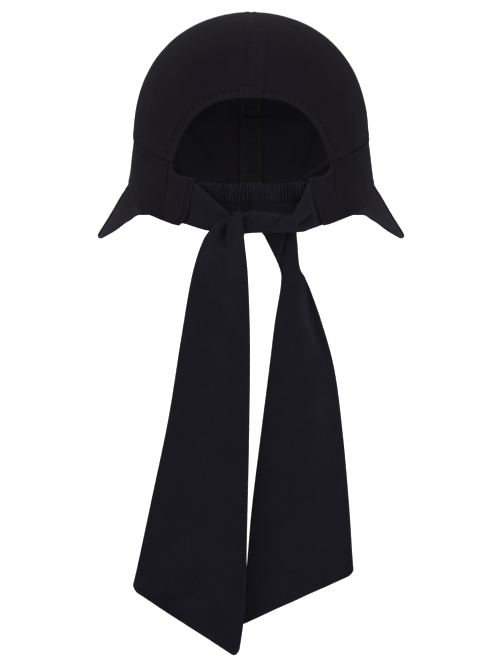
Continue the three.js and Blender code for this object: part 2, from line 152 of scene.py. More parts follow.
def addLights(setup):
    world = bpy.data.worlds.new("softStudio")
    world.use_nodes = True
    sky = {"Color": (1.0, 1.0, 1.0, 1.0), "Strength": setup["worldStrength"]}
    setInputs(world.node_tree, world.node_tree.nodes["Background"], sky)
    bpy.context.scene.world = world
    for panel in setup["panels"]:
        data = bpy.data.lights.new(panel["name"], "AREA")
        data.size = panel["size"]
        data.energy = panel["power"]
        light = linked(panel["name"], data)
        light.location = panel["place"]
        light.rotation_euler = turnTowards(Vector(viewSetup["target"]) - light.location)
    bpy.context.scene.view_settings.view_transform = "Standard"


def floorMaterial(look):
    material, tree, shader = newMaterial("paleFloor")
    place = addNode(tree, "ShaderNodeTexCoord", output="Object")
    grain = noiseNode(tree, place, look["grain"], 2.0)
    setInputs(tree, shader, {
        "Base Color": toneNode(tree, grain, look),
        "Roughness": look["roughness"],
        "Specular IOR Level": look["specular"],
    })
    return material


def addFloor(setup):
    half = setup["floorSize"] / 2
    level = cadBox[0][2] - setup["floorDrop"]
    corners = [(-half, -half, level), (half, -half, level), (half, half, level), (-half, half, level)]
    mesh = bpy.data.meshes.new("studioFloor")
    mesh.from_pydata(corners, [], [(0, 1, 2, 3)])
    mesh.materials.append(floorMaterial(floorLook))
    floor = linked("studioFloor", mesh)


addLights(lightSetup)
addFloor(lightSetup)
print("view, light and floor set")


# Cloth finishes: plain weave with slubs, a faint sheen, and a tone attribute that holds rubbed edges
# together with painted light and painted shade
capCloth = {"dark": (0.0044, 0.0039, 0.0055), "light": (0.0092, 0.0083, 0.0114), "pitch": 0.55,
            "relief": 0.12, "roughness": 0.85, "specular": 0.01, "sheen": 0.004}
softCloth = {**capCloth, "pitch": 0.50, "relief": 0.10, "roughness": 0.84}
clothLooks = {
    "crownCloth": {**capCloth, "slot": "crown_cloth"},
    "bandCloth": {**capCloth, "slot": "band_cloth"},
    "peakCloth": {**capCloth, "slot": "peak_cloth", "relief": 0.10, "roughness": 0.82,
                  "specular": 0.005, "sheen": 0.002},
    "tieCloth": {**softCloth, "slot": "tie_cloth", "dark": (0.0054, 0.0050, 0.0074),
                 "light": (0.0108, 0.0102, 0.0143)},
    "elasticCloth": {**softCloth, "slot": "elastic_cloth", "dark": (0.0051, 0.0048, 0.0071),
                     "light": (0.0130, 0.0123, 0.0170)},
    "seamTape": {**capCloth, "slot": "seam_tape", "dark": (0.0093, 0.0093, 0.0106),
                 "light": (0.0174, 0.0174, 0.0191), "pitch": 0.90, "relief": 0.16, "roughness": 0.75},
}
weaveForm = {
    "slubAcross": 900.0,  # how fast the slubs change across a thread and along it
    "slubAlong": 120.0,
    "cloud": 45.0,
    "tones": {"level": -0.35, "weave": 0.12, "slub": 0.5, "cloud": 0.6, "wearAndPaintedLight": 0.55},
    "slubRough": 0.12,
    "slubRelief": 1.6,
    "bump": 0.6,
    "sheenRoughness": 0.5,
    "sheenTint": (0.86, 0.82, 1.0, 1.0),
}
# How much lighter the unseen side of the cloth is made, in the tone attribute: on the crown and band partly
# the cloth's own paler back and partly painted light on the shaded inside; under the peak, painted shade in
# the middle and painted light on the wings, growing towards their tips
insideToneAndPaintedLight = {"crown": 1.95, "band": 1.95, "peakMiddlePaintedShade": -0.6, "wingRootPaintedLight": 2.6, "wingTipPaintedLight": 5.4}


def clothMaterial(name, look):
    material, tree, shader = newMaterial(name)
    form, tones = weaveForm, weaveForm["tones"]
    place = addNode(tree, "ShaderNodeUVMap", uv_map="cut")  # metres on the cut piece
    turns = 2 * math.pi / (look["pitch"] * mm)
    threads, slubs = [], []
    for axis, scale in (("X", (form["slubAcross"], form["slubAlong"], 1.0)),
                        ("Y", (form["slubAlong"], form["slubAcross"], 1.0))):
        run = addNode(tree, "ShaderNodeSeparateXYZ", {0: place}, axis)
        threads.append(mathNode(tree, "SINE", mathNode(tree, "MULTIPLY", run, turns)))
        drawn = addNode(tree, "ShaderNodeMapping", {"Vector": place, "Scale": scale})
        slubs.append(noiseNode(tree, drawn, 1.0, 2.0))
    parts = {
        "weave": mathNode(tree, "MULTIPLY", *threads),
        "slub": mathNode(tree, "ADD", *slubs),
        "cloud": noiseNode(tree, place, form["cloud"], 3.0),
        # the tone attribute: rubbed wear together with the painted highlights and painted shade that each
        # piece sets
        "wearAndPaintedLight": addNode(tree, "ShaderNodeAttribute", output="Fac", attribute_name="wearAndPaintedLight"),  # lighter on edges
    }
    mixed = tones["level"]
    for key, part in parts.items():
        mixed = mathNode(tree, "MULTIPLY_ADD", part, tones[key], mixed)
    smoothest = look["roughness"] - form["slubRough"]
    height = mathNode(tree, "MULTIPLY_ADD", parts["slub"], form["slubRelief"], parts["weave"])
    relief = {"Strength": form["bump"], "Distance": look["relief"] * mm, "Height": height}
    setInputs(tree, shader, {
        "Base Color": toneNode(tree, mixed, look, clamp_factor=False),
        "Roughness": mathNode(tree, "MULTIPLY_ADD", parts["slub"], form["slubRough"], smoothest),
        "Normal": addNode(tree, "ShaderNodeBump", relief),
        "Specular IOR Level": look["specular"],
        "Sheen Weight": look["sheen"],
        "Sheen Roughness": form["sheenRoughness"],
        "Sheen Tint": form["sheenTint"],
    })
    return material


cloth = {name: clothMaterial(name, look) for name, look in clothLooks.items()}

threadLook = {"dark": (0.0065, 0.0060, 0.0085), "light": (0.0125, 0.0118, 0.0155), "roughness": 0.6,
              "specular": 0.03, "twist": 2600.0, "relief": 0.05, "bump": 0.5}


def threadMaterial(look):
    material, tree, shader = newMaterial("sewingThread")
    ply = noiseNode(tree, addNode(tree, "ShaderNodeTexCoord", output="Object"), look["twist"], 1.0)
    relief = {"Strength": look["bump"], "Distance": look["relief"] * mm, "Height": ply}
    setInputs(tree, shader, {
        "Base Color": toneNode(tree, ply, look),
        "Normal": addNode(tree, "ShaderNodeBump", relief),
        "Roughness": look["roughness"],
        "Specular IOR Level": look["specular"],
    })
    return material


thread = threadMaterial(threadLook)
print("cloth and thread finishes made")


# Tables and surfaces that the pieces share
capForm = {
    "rimHalfWidth": 85.2,
    "rimHalfLength": 99.5,
    "yokeHalfWidth": 80.2,
    "yokeHalfLength": 95.5,
    "yokeHeight": 39.0,  # where the band's slope meets the dome
    "domeRise": 88.0,
    "domeFullness": 2.2,
    "panelBulge": 0.5,
    "clothWall": 1.6,
    "seamLap": 0.1,  # degrees that neighbouring pieces run past their common seam
}

# Height of the band's lower edge, and of the seam above it, by the turn away from the centre front
rimRows = {
    "turn": (0, 20, 31, 38, 46, 60, 90, 104, 112, 119, 130, 138, 144, 180),
    "height": (-12.4, -9.4, -2.8, 3, 8.3, 10.5, 10.5, 8.5, 2.6, 1.0, 0.3, -1.0, -1.8, -2.2),
}
yokeRows = {
    "turn": (0, 60, 90, 120, 137, 180),
    "height": (42.5, 43, 44.3, 42.0, 39.2, 39),
}


def smoothThrough(keys, values, x):
    keys, values, x = (np.asarray(part, float) for part in (keys, values, x))
    last = len(keys) - 1
    order = np.arange(last + 1)
    before, after = np.maximum(order - 1, 0), np.minimum(order + 1, last)
    slopes = (values[after] - values[before]) / (keys[after] - keys[before])
    i = np.clip(np.searchsorted(keys, x, side="left") - 1, 0, last - 1)
    span = keys[i + 1] - keys[i]
    t = (x - keys[i]) / span
    stay = 2 * t ** 3 - 3 * t ** 2 + 1
    leave = t ** 3 - 2 * t ** 2 + t
    arrive = t ** 3 - t ** 2
    bend = slopes[i] * leave + slopes[i + 1] * arrive
    return values[i] * stay + values[i + 1] * (1 - stay) + span * bend


def smoothStep(low, high, x):
    t = np.clip((x - low) / (high - low), 0, 1)
    return t * t * (3 - 2 * t)


def ridge(distance, width):
    return np.exp(-(distance / width) ** 2)


def lerp(a, b, share):
    return a + (b - a) * share


def named(columns, rows):
    return [dict(zip(columns, row)) for row in rows]


def lapped(azimuth):  # the two edge columns go on past the seam
    ends = np.zeros(len(azimuth))
    ends[0], ends[-1] = -capForm["seamLap"], capForm["seamLap"]
    return azimuth + ends


def turnFromBack(azimuth):  # azimuth 0 is the centre back, 90 the +X side, 180 the centre front
    return np.abs((np.asarray(azimuth, float) + 180) % 360 - 180)


def turnFromFront(azimuth):
    return np.abs(180 - turnFromBack(azimuth))


def rimHeight(azimuth):
    return smoothThrough(rimRows["turn"], rimRows["height"], turnFromFront(azimuth))


def yokeSeam(azimuth):
    return smoothThrough(yokeRows["turn"], yokeRows["height"], turnFromFront(azimuth))


def ringPoints(azimuth, halfWidth, halfLength, height):
    angle = np.radians(azimuth)
    parts = np.broadcast_arrays(halfWidth * np.sin(angle), -halfLength * np.cos(angle), height)
    return np.stack(parts, axis=-1)


def bandPoints(azimuth, height, inset):
    share = height / capForm["yokeHeight"]
    halfWidth = lerp(capForm["rimHalfWidth"], capForm["yokeHalfWidth"], share) - inset
    halfLength = lerp(capForm["rimHalfLength"], capForm["yokeHalfLength"], share) - inset
    return ringPoints(azimuth, halfWidth, halfLength, height)


def domeShares(rise):
    angle = rise * np.pi / 2
    power = 2 / capForm["domeFullness"]
    return np.cos(angle) ** power, np.sin(angle) ** power


def domePoints(azimuth, rise, inset):
    spread, climb = domeShares(rise)
    crest = np.abs(np.sin(3 * np.radians(azimuth))) * np.sin(rise * np.pi)  # six panels, three waves
    offset = capForm["panelBulge"] * crest - inset
    height = capForm["yokeHeight"] + (capForm["domeRise"] + offset) * climb
    return ringPoints(azimuth, (capForm["yokeHalfWidth"] + offset) * spread,
                      (capForm["yokeHalfLength"] + offset) * spread, height)


def riseAt(height):
    climb = np.clip((height - capForm["yokeHeight"]) / capForm["domeRise"], 0, 1)
    return np.arcsin(climb ** (capForm["domeFullness"] / 2)) * 2 / np.pi


def wallPoints(azimuth, height, inset):  # the band below, the dome above
    low = bandPoints(azimuth, np.minimum(height, capForm["yokeHeight"]), inset)
    high = domePoints(azimuth, riseAt(height), inset)
    return np.where((np.asarray(height) > capForm["yokeHeight"])[..., None], high, low)


def gradedShares(length, edgeStep, middleStep, growth=1.3):
    places, step = [0.0], edgeStep
    while places[-1] < length / 2:
        places.append(places[-1] + step)
        step = min(step * growth, middleStep)
    half = np.array(places) * (length / 2) / places[-1]
    return np.concatenate([half, length - half[-2::-1]]) / length


def unit(vectors):
    return vectors / np.maximum(np.linalg.norm(vectors, axis=-1, keepdims=True), 1e-9)


def gridNormals(points):
    return unit(np.cross(np.gradient(points, axis=1), np.gradient(points, axis=0)))


def alongRows(points):  # length along each column from the first row
    steps = np.linalg.norm(np.diff(points, axis=0), axis=-1)
    return np.concatenate([0 * steps[:1], np.cumsum(steps, axis=0)])


def alongColumns(points):
    return alongRows(points.swapaxes(0, 1)).swapaxes(0, 1)


def measured(points):  # the way out of the cloth, and the lengths across it and up it
    return gridNormals(points), alongColumns(points), alongRows(points)


def fromEdge(across, up):
    return np.minimum(np.minimum(across, across[:, -1:] - across), np.minimum(up, up[-1:] - up))


def roundedHalf(distance, wall):  # half of a wall that closes in a round edge
    reach = np.clip(distance / (wall / 2), 0, 1)
    return wall / 2 * np.sqrt(1 - (1 - reach) ** 2)


def softNoise(points, size, seed, tall=1.0):
    places = (points * (1.0, 1.0, tall) / size + seed * 7.31).reshape(-1, 3)
    return np.array([noise.noise(Vector(p)) for p in places]).reshape(points.shape[:-1])


# Relief and tone: the values in brackets in the sizes and tones below are handed to the next three
def swells(points, *waves):  # soft waves: height, size, seed and, for some, how much closer along Z
    return sum(height * softNoise(points, *wave) for height, *wave in waves)


def raised(distance, height, width, place=0.0):  # a soft ridge, or a dip, that far away
    return height * ridge(distance - place, width)


def fading(distance, height, reach):
    return height * np.exp(-distance / reach)


def puckers(along, pitch, points, drift, size, seed):  # waves that drift out of step
    return np.sin(2 * np.pi * along / pitch + drift * softNoise(points, size, seed))


def sampleGrid(grid, row, column):
    r = np.clip(np.floor(row).astype(int), 0, grid.shape[0] - 2)
    c = np.clip(np.floor(column).astype(int), 0, grid.shape[1] - 2)
    down, side = (row - r)[..., None], (column - c)[..., None]
    near = grid[r, c] * (1 - side) + grid[r, c + 1] * side
    far = grid[r + 1, c] * (1 - side) + grid[r + 1, c + 1] * side
    return near * (1 - down) + far * down


def sampled(points, normals, row, column):  # a line on the cloth, with the way out at each of its points
    return sampleGrid(points, row, column), sampleGrid(normals, row, column)


def reached(lines, wanted):  # where each line of growing lengths comes to the wanted one
    wanted = np.broadcast_to(wanted, len(lines))
    return np.array([np.interp(goal, line, np.arange(len(line))) for goal, line in zip(wanted, lines)])


def walls(middle, normals, *heights):
    return [middle + normals * height[..., None] for height in heights]


def sewnIn(piece, slot, *nodes):
    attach(piece, "root")
    if nodes:
        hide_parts(*nodes)


def makeShell(name, outer, inner, cut, wearAndPaintedLight, look, *nodes, innerWearAndPaintedLight=None):
    # Two walls that share the points of their four edges, so the shell is closed
    rows, columns = wearAndPaintedLight.shape
    front = np.arange(rows * columns).reshape(rows, columns)
    back = front.copy()
    back[1:-1, 1:-1] = rows * columns + np.arange((rows - 2) * (columns - 2)).reshape(rows - 2, -1)

    def quads(index, order):
        corners = (index[:-1, :-1], index[:-1, 1:], index[1:, 1:], index[1:, :-1])
        return np.stack([corners[k].ravel() for k in order], axis=-1)

    def joined(first, second):
        return np.concatenate([grid.reshape(-1, *grid.shape[2:]) for grid in (first, second[1:-1, 1:-1])])

    flat = np.stack(cut, axis=-1)
    faces = np.concatenate([quads(front, (0, 1, 2, 3)), quads(back, (0, 3, 2, 1))])
    mesh = bpy.data.meshes.new(name)
    mesh.from_pydata((joined(outer, inner) * mm).tolist(), [], faces.tolist())
    layer = mesh.uv_layers.new(name="cut")
    layer.data.foreach_set("uv", (joined(flat, flat) * mm)[faces.ravel()].ravel())
    # Tone on both walls: rubbed wear with painted light and painted shade
    bothSidesWearAndPaintedLight = joined(wearAndPaintedLight, wearAndPaintedLight if innerWearAndPaintedLight is None else innerWearAndPaintedLight)
    mesh.attributes.new("wearAndPaintedLight", "FLOAT", "POINT").data.foreach_set("value", bothSidesWearAndPaintedLight)
    mesh.polygons.foreach_set("use_smooth", np.ones(len(faces), bool))
    mesh.materials.append(cloth[look])
    mesh.update()
    piece = linked(name, mesh)
    sewnIn(piece, clothLooks[look]["slot"], *nodes)
    return piece


# Stitches and ribs: units set along rows of points that also carry the way out of the cloth
def unitTree(name, shape, measures, turn):
    tree = bpy.data.node_groups.new(name, "GeometryNodeTree")
    sockets = {"Geometry": "Geometry", "Pitch": "Float", "Size": "Vector", "Wander": "Float",
               "Seed": "Int", "Finish": "Material"}
    for label, kind in sockets.items():
        tree.interface.new_socket(label, in_out="INPUT", socket_type="NodeSocket" + kind)
    tree.interface.new_socket("Geometry", in_out="OUTPUT", socket_type="NodeSocketGeometry")
    given = tree.nodes.new("NodeGroupInput").outputs

    def add(kind, inputs, **settings):
        return addNode(tree, kind, inputs, **settings)

    curve = add("GeometryNodeMeshToCurve", {"Mesh": given["Geometry"]})
    spaced = add("GeometryNodeResampleCurve", {"Curve": curve, "Length": given["Pitch"]}, mode="LENGTH")
    smooth = add("GeometryNodeSetShadeSmooth", {"Geometry": add(shape, measures)})
    sized = add("GeometryNodeTransform", {"Geometry": smooth, "Scale": given["Size"], "Rotation": turn})
    tangent = add("GeometryNodeInputTangent", {})
    out = add("GeometryNodeInputNamedAttribute", {"Name": "out"}, data_type="FLOAT_VECTOR")
    along = add("FunctionNodeAlignRotationToVector", {"Vector": tangent}, axis="X")
    upright = add("FunctionNodeAlignRotationToVector", {"Rotation": along, "Vector": out},
                  axis="Z", pivot_axis="X")
    least = mathNode(tree, "MULTIPLY", given["Wander"], -1.0)
    swing = add("FunctionNodeRandomValue", {"Min": least, "Max": given["Wander"], "Seed": given["Seed"]},
                data_type="FLOAT")
    about = add("FunctionNodeAxisAngleToRotation", {"Axis": (0.0, 0.0, 1.0), "Angle": swing})
    turned = add("FunctionNodeRotateRotation", {0: upright, 1: about}, rotation_space="LOCAL")
    placed = add("GeometryNodeInstanceOnPoints", {"Points": spaced, "Instance": sized, "Rotation": turned})
    real = add("GeometryNodeRealizeInstances", {"Geometry": placed})
    coloured = add("GeometryNodeSetMaterial", {"Geometry": real, "Material": given["Finish"]})
    tree.links.new(coloured, tree.nodes.new("NodeGroupOutput").inputs[0])
    return tree


def unitsAlong(name, rows, tree, material, slot, pitch, size, wander=0.0, seed=0):
    # One path for each row; the tree is evaluated once and its result kept as a plain mesh
    points, outs = (np.concatenate(part) for part in zip(*rows))
    edges, start = [], 0
    for line, _ in rows:
        edges += [(start + k, start + k + 1) for k in range(len(line) - 1)]
        start += len(line)
    mesh = bpy.data.meshes.new(name)
    mesh.from_pydata((points * mm).tolist(), edges, [])
    mesh.attributes.new("out", "FLOAT_VECTOR", "POINT").data.foreach_set("vector", outs.ravel())
    carrier = linked(name, mesh)
    modifier = carrier.modifiers.new(tree.name, "NODES")
    modifier.node_group = tree
    values = {"Pitch": pitch * mm, "Size": [part * mm for part in size], "Wander": wander, "Seed": seed,
              "Finish": material}
    for item in tree.interface.items_tree:
        if item.in_out == "INPUT" and item.name in values:
            modifier[item.identifier] = values[item.name]
    bpy.context.view_layer.update()
    graph = bpy.context.evaluated_depsgraph_get()
    made = bpy.data.meshes.new_from_object(carrier.evaluated_get(graph), depsgraph=graph)
    carrier.modifiers.remove(modifier)
    carrier.data = made
    made.name = name
    made.materials.clear()
    made.materials.append(material)
    sewnIn(carrier, slot)


stitchSizes = {"pitch": 2.7, "length": 2.1, "radius": 0.26, "wander": 0.10, "seed": 4}
ball = {"Segments": 6, "Rings": 4, "Radius": 1.0}
stitches = unitTree("threadStitches", "GeometryNodeMeshUVSphere", ball, (0.0, math.pi / 2, 0.0))


def sewRows(name, rows, slot, **changes):
    sizes = {**stitchSizes, **changes}
    size = (sizes["radius"], sizes["radius"], sizes["length"] / 2)
    unitsAlong(name, rows, stitches, thread, slot, sizes["pitch"], size, sizes["wander"], sizes["seed"])


# The half-moon opening's outline, seen from behind
openingForm = {
    "halfWidth": 53.1,
    "sill": 31.0,
    "corner": 7.0,
    "top": 84.5,
    "fullness": 2.9,
    "taper": 0.24,
    "hem": 8.0,
    "hemStitch": 3.2,
    "hemBead": 4.2,  # from one pucker to the next
}


def archOutline(steps):  # x and z from the right-hand foot over the top to the left-hand foot
    angle = np.linspace(0, np.pi, steps)
    foot = openingForm["sill"] + openingForm["corner"]
    climb = np.sin(angle).clip(0) ** (2 / openingForm["fullness"])
    spread = np.abs(np.cos(angle)) ** (2 / openingForm["fullness"]) * (1 - openingForm["taper"] * climb)
    x = np.sign(np.cos(angle)) * openingForm["halfWidth"] * spread
    return np.stack([x, foot + (openingForm["top"] - foot) * climb], axis=-1)


def evenly(points, count):
    lengths = alongRows(points)
    wanted = np.linspace(0, lengths[-1], count)
    return np.stack([np.interp(wanted, lengths, points[:, k]) for k in range(points.shape[1])], axis=-1)


arch = evenly(archOutline(1600), 401)
archLengths = alongRows(arch)


def grownArch(distance):
    along = unit(np.gradient(arch, axis=0))
    return arch + np.stack([along[:, 1], -along[:, 0]], axis=-1) * distance


def nearArch(points):  # distance from the outline, as it is seen from behind, and the place along it
    flat = points[..., [0, 2]].reshape(-1, 1, 2)
    squares = ((flat - arch[None, ::2]) ** 2).sum(-1)
    far, place = np.sqrt(squares.min(axis=1)), archLengths[::2][squares.argmin(axis=1)]
    return far.reshape(points.shape[:-1]), place.reshape(points.shape[:-1])


def domeAt(x, z, inset):  # azimuth and rise of a point of the back that is given by x and z
    offset = np.full(np.shape(x), -float(inset))
    for _ in range(5):
        climb = np.clip((z - capForm["yokeHeight"]) / (capForm["domeRise"] + offset), 0, 1)
        angle = np.arcsin(climb ** (capForm["domeFullness"] / 2))
        spread = np.cos(angle) ** (2 / capForm["domeFullness"])
        azimuth = np.degrees(np.arcsin(np.clip(x / ((capForm["yokeHalfWidth"] + offset) * spread), -1, 1)))
        crest = np.abs(np.sin(3 * np.radians(azimuth))) * np.sin(2 * angle)
        offset = capForm["panelBulge"] * crest - inset
    return azimuth, angle * 2 / np.pi


# Azimuth at which the opening's outline meets the yoke seam
openingCorner = float(domeAt(arch[:1, 0], np.array([capForm["yokeHeight"]]), 0)[0][0])


# Band: its sizes come first, because the crown's lower edge follows its seam
bandSizes = {
    "tabSeam": 43.0,
    "length": 220.0,  # about, with the height, for the spacing of the mesh
    "height": 40.0,
    "steps": {"across": (0.16, 1.6), "up": (0.14, 1.3)},  # at the edges and in the middle
    "yokeStitch": 3.7,
    "stitchDip": (0.55, 0.7),
    "edgeRoll": (0.3, 1.8, 1.8),
    "yokeRoll": (0.3, 1.0, 1.6),
    "pucker": (0.12, 2.4),
    "puckerPitch": 6.6,
    "waves": ((0.5, 22.0, 12, 0.35), (0.14, 9.0, 13)),
    "tuckRise": 1.2,  # how far the upper edge goes on inside the crown's edge
    "tuckOuter": 1.3,
    "tuckInner": 0.12,
    "frontGroove": 0.3,
    "tabGrooves": (0.04, 0.75),  # low and high: the seam at the tab is deepest near the opening
    "grooveHeights": (11, 24),
    "grooveWidth": 0.6,
}
# Band tones: lighter along the foot and a little on the roll below the seam; darker along the stitch row as
# painted shade in its dip; painted light on the sides beside the peak's wings; inside, painted light along
# the foot that fills the shadow gap over the peak
bandTones = {"foot": (0.6, 1.1), "yoke": (0.2, 0.9, 1.8), "stitches": (-0.9, 0.7), "paintedLightBesidePeak": 0.9,
             "insideFootPaintedLight": (1.5, 1.3)}


def tabGroove(height):
    return lerp(*bandSizes["tabGrooves"], smoothStep(*bandSizes["grooveHeights"], height))


# Soft creases inside the front of the band, with painted shade along them and, on one, a painted highlight:
# both ends as the turn from the centre front and the height
creaseColumns = ("side", "start", "end", "width", "depth", "tone")
insideCreases = [
    (-1, (34, 40), (18, 10), 4.0, 0.4, -0.65),
    (1, (35, 37), (27, 6), 2.2, 0.5, -0.8),
    (1, (23, 23), (20, 8), 2.0, 0.3, -0.5),
    (1, (21, -7), (45, 18.5), 0.9, -0.8, 2.2),
    (1, (26, -7), (49, 14), 3.0, 0.5, -1.7),
    (-1, (42, 24), (36, 1), 2.4, 0.5, -1.0),
]
arcPerDegree = 1.5  # millimetres along the wall for each degree, near the front


def insideCrease(side, azimuth, height):  # dent and tone of the inner wall
    # The creases' tone is painted: shade along most of them, a painted highlight where it is positive
    dent, tone = 0 * height, 0 * height
    place = np.stack([turnFromFront(azimuth) * arcPerDegree, height], axis=-1)
    for crease in named(creaseColumns, insideCreases):
        if crease["side"] == side:
            start, end = (np.array(crease[key]) * (arcPerDegree, 1) for key in ("start", "end"))
            span = end - start
            share = np.clip((place - start) @ span / (span @ span), 0.1, 0.9)
            crest = ridge(np.linalg.norm(place - start - share[..., None] * span, axis=-1), crease["width"])
            dent = dent + crease["depth"] * crest
            tone = tone + crease["tone"] * crest
    return dent, tone


# Crown: six panels with pressed-open seams, stitched on both sides of the centre ones
crownSizes = {
    "tip": 0.9999,
    "width": 86.0,  # of a panel at its foot, with its height, for the spacing of the mesh
    "height": 128.0,
    "edgeStep": 0.16,
    "columnStep": {"back": 0.65, "other": 1.35},  # closer where the opening's hem runs steeply
    "rowStep": {"back": 0.85, "other": 1.35},
    "edgeRound": 1.0,  # of the lower edge, over the band
    "lean": (2.2, 5.0),  # of the centre back seam, to the right, low and high
    "seamRow": (5.7, 4.4),  # from the seam to its stitches, low and high
    "pressedLift": (0.07, 0.35),  # plain and stitched, as the seam's dip
    "seamDip": (0.14, 0.35),
    "seamDipWidth": 0.7,
    "stitchDip": (0.34, 0.75),
    "pucker": (0.13, 2.6),
    "plainPucker": 0.3,  # share of it along plain seams
    "puckerPitch": 6.3,
    "wrinkles": ((0.34, 34.0, 3), (0.12, 11.0, 5)),
    "yokeRoll": (0.3, 1.2, 1.5),
    "hemLift": 0.15,
    "hemRoll": (0.35, 0.8, 1.0),
    "hemDip": (0.4, 0.8),
    "beadWidth": 1.7,
    "beadLift": 0.34,
    "tipClear": 9.0,  # the stitches stop short of the top
    "hemClear": 2.2,
}
# Crown tones: lighter along the hem as rubbed wear and a painted highlight on its turned edge; painted
# shade along the yoke seam and in the stitch dips; painted light and shade on the hem's puckers
crownTones = {"hem": (1.3, 1.2), "yoke": (-0.7, 0.6), "pressed": 0.3, "stitches": (-0.5, 0.8),
              "beads": 0.35}


def leanTurn(rise):  # turn of the centre back seam, which fades towards the top
    lean = lerp(*crownSizes["lean"], smoothStep(0.3, 0.75, rise))
    reach = capForm["yokeHalfWidth"] * np.maximum(domeShares(rise)[0], 0.05)
    return np.degrees(np.arcsin(np.clip(lean / reach, 0, 0.5))) * (1 - smoothStep(0.66, 1.0, rise))


def quarterRound(distance, radius):
    return np.sqrt(1 - (1 - np.clip(distance / radius, 0, 1)) ** 2)


def crownLowEdge(azimuth):
    low = riseAt(yokeSeam(azimuth))
    half = arch[:201]
    above = half[:, 1] >= capForm["yokeHeight"]
    edgeTurn, edgeRise = domeAt(half[above, 0], half[above, 1], 0)
    order = np.argsort(edgeTurn)
    hem = np.interp(turnFromBack(azimuth), edgeTurn[order], edgeRise[order], right=-1.0)
    return np.maximum(low, hem), hem > low


def crownShares(index):  # across a panel, and up it
    sizes, kind = crownSizes, "back" if index in (0, 5) else "other"
    corner = openingCorner / 60
    cuts = {0: (0.0, corner, 1.0), 5: (0.0, 1 - corner, 1.0)}.get(index, (0.0, 1.0))
    steps = (sizes["edgeStep"], sizes["columnStep"][kind])
    parts = [lerp(a, b, gradedShares((b - a) * sizes["width"], *steps))[:-1]
             for a, b in zip(cuts, cuts[1:])]
    rowShares = gradedShares(sizes["height"], sizes["edgeStep"], sizes["rowStep"][kind])
    return np.concatenate(parts + [np.ones(1)]), rowShares


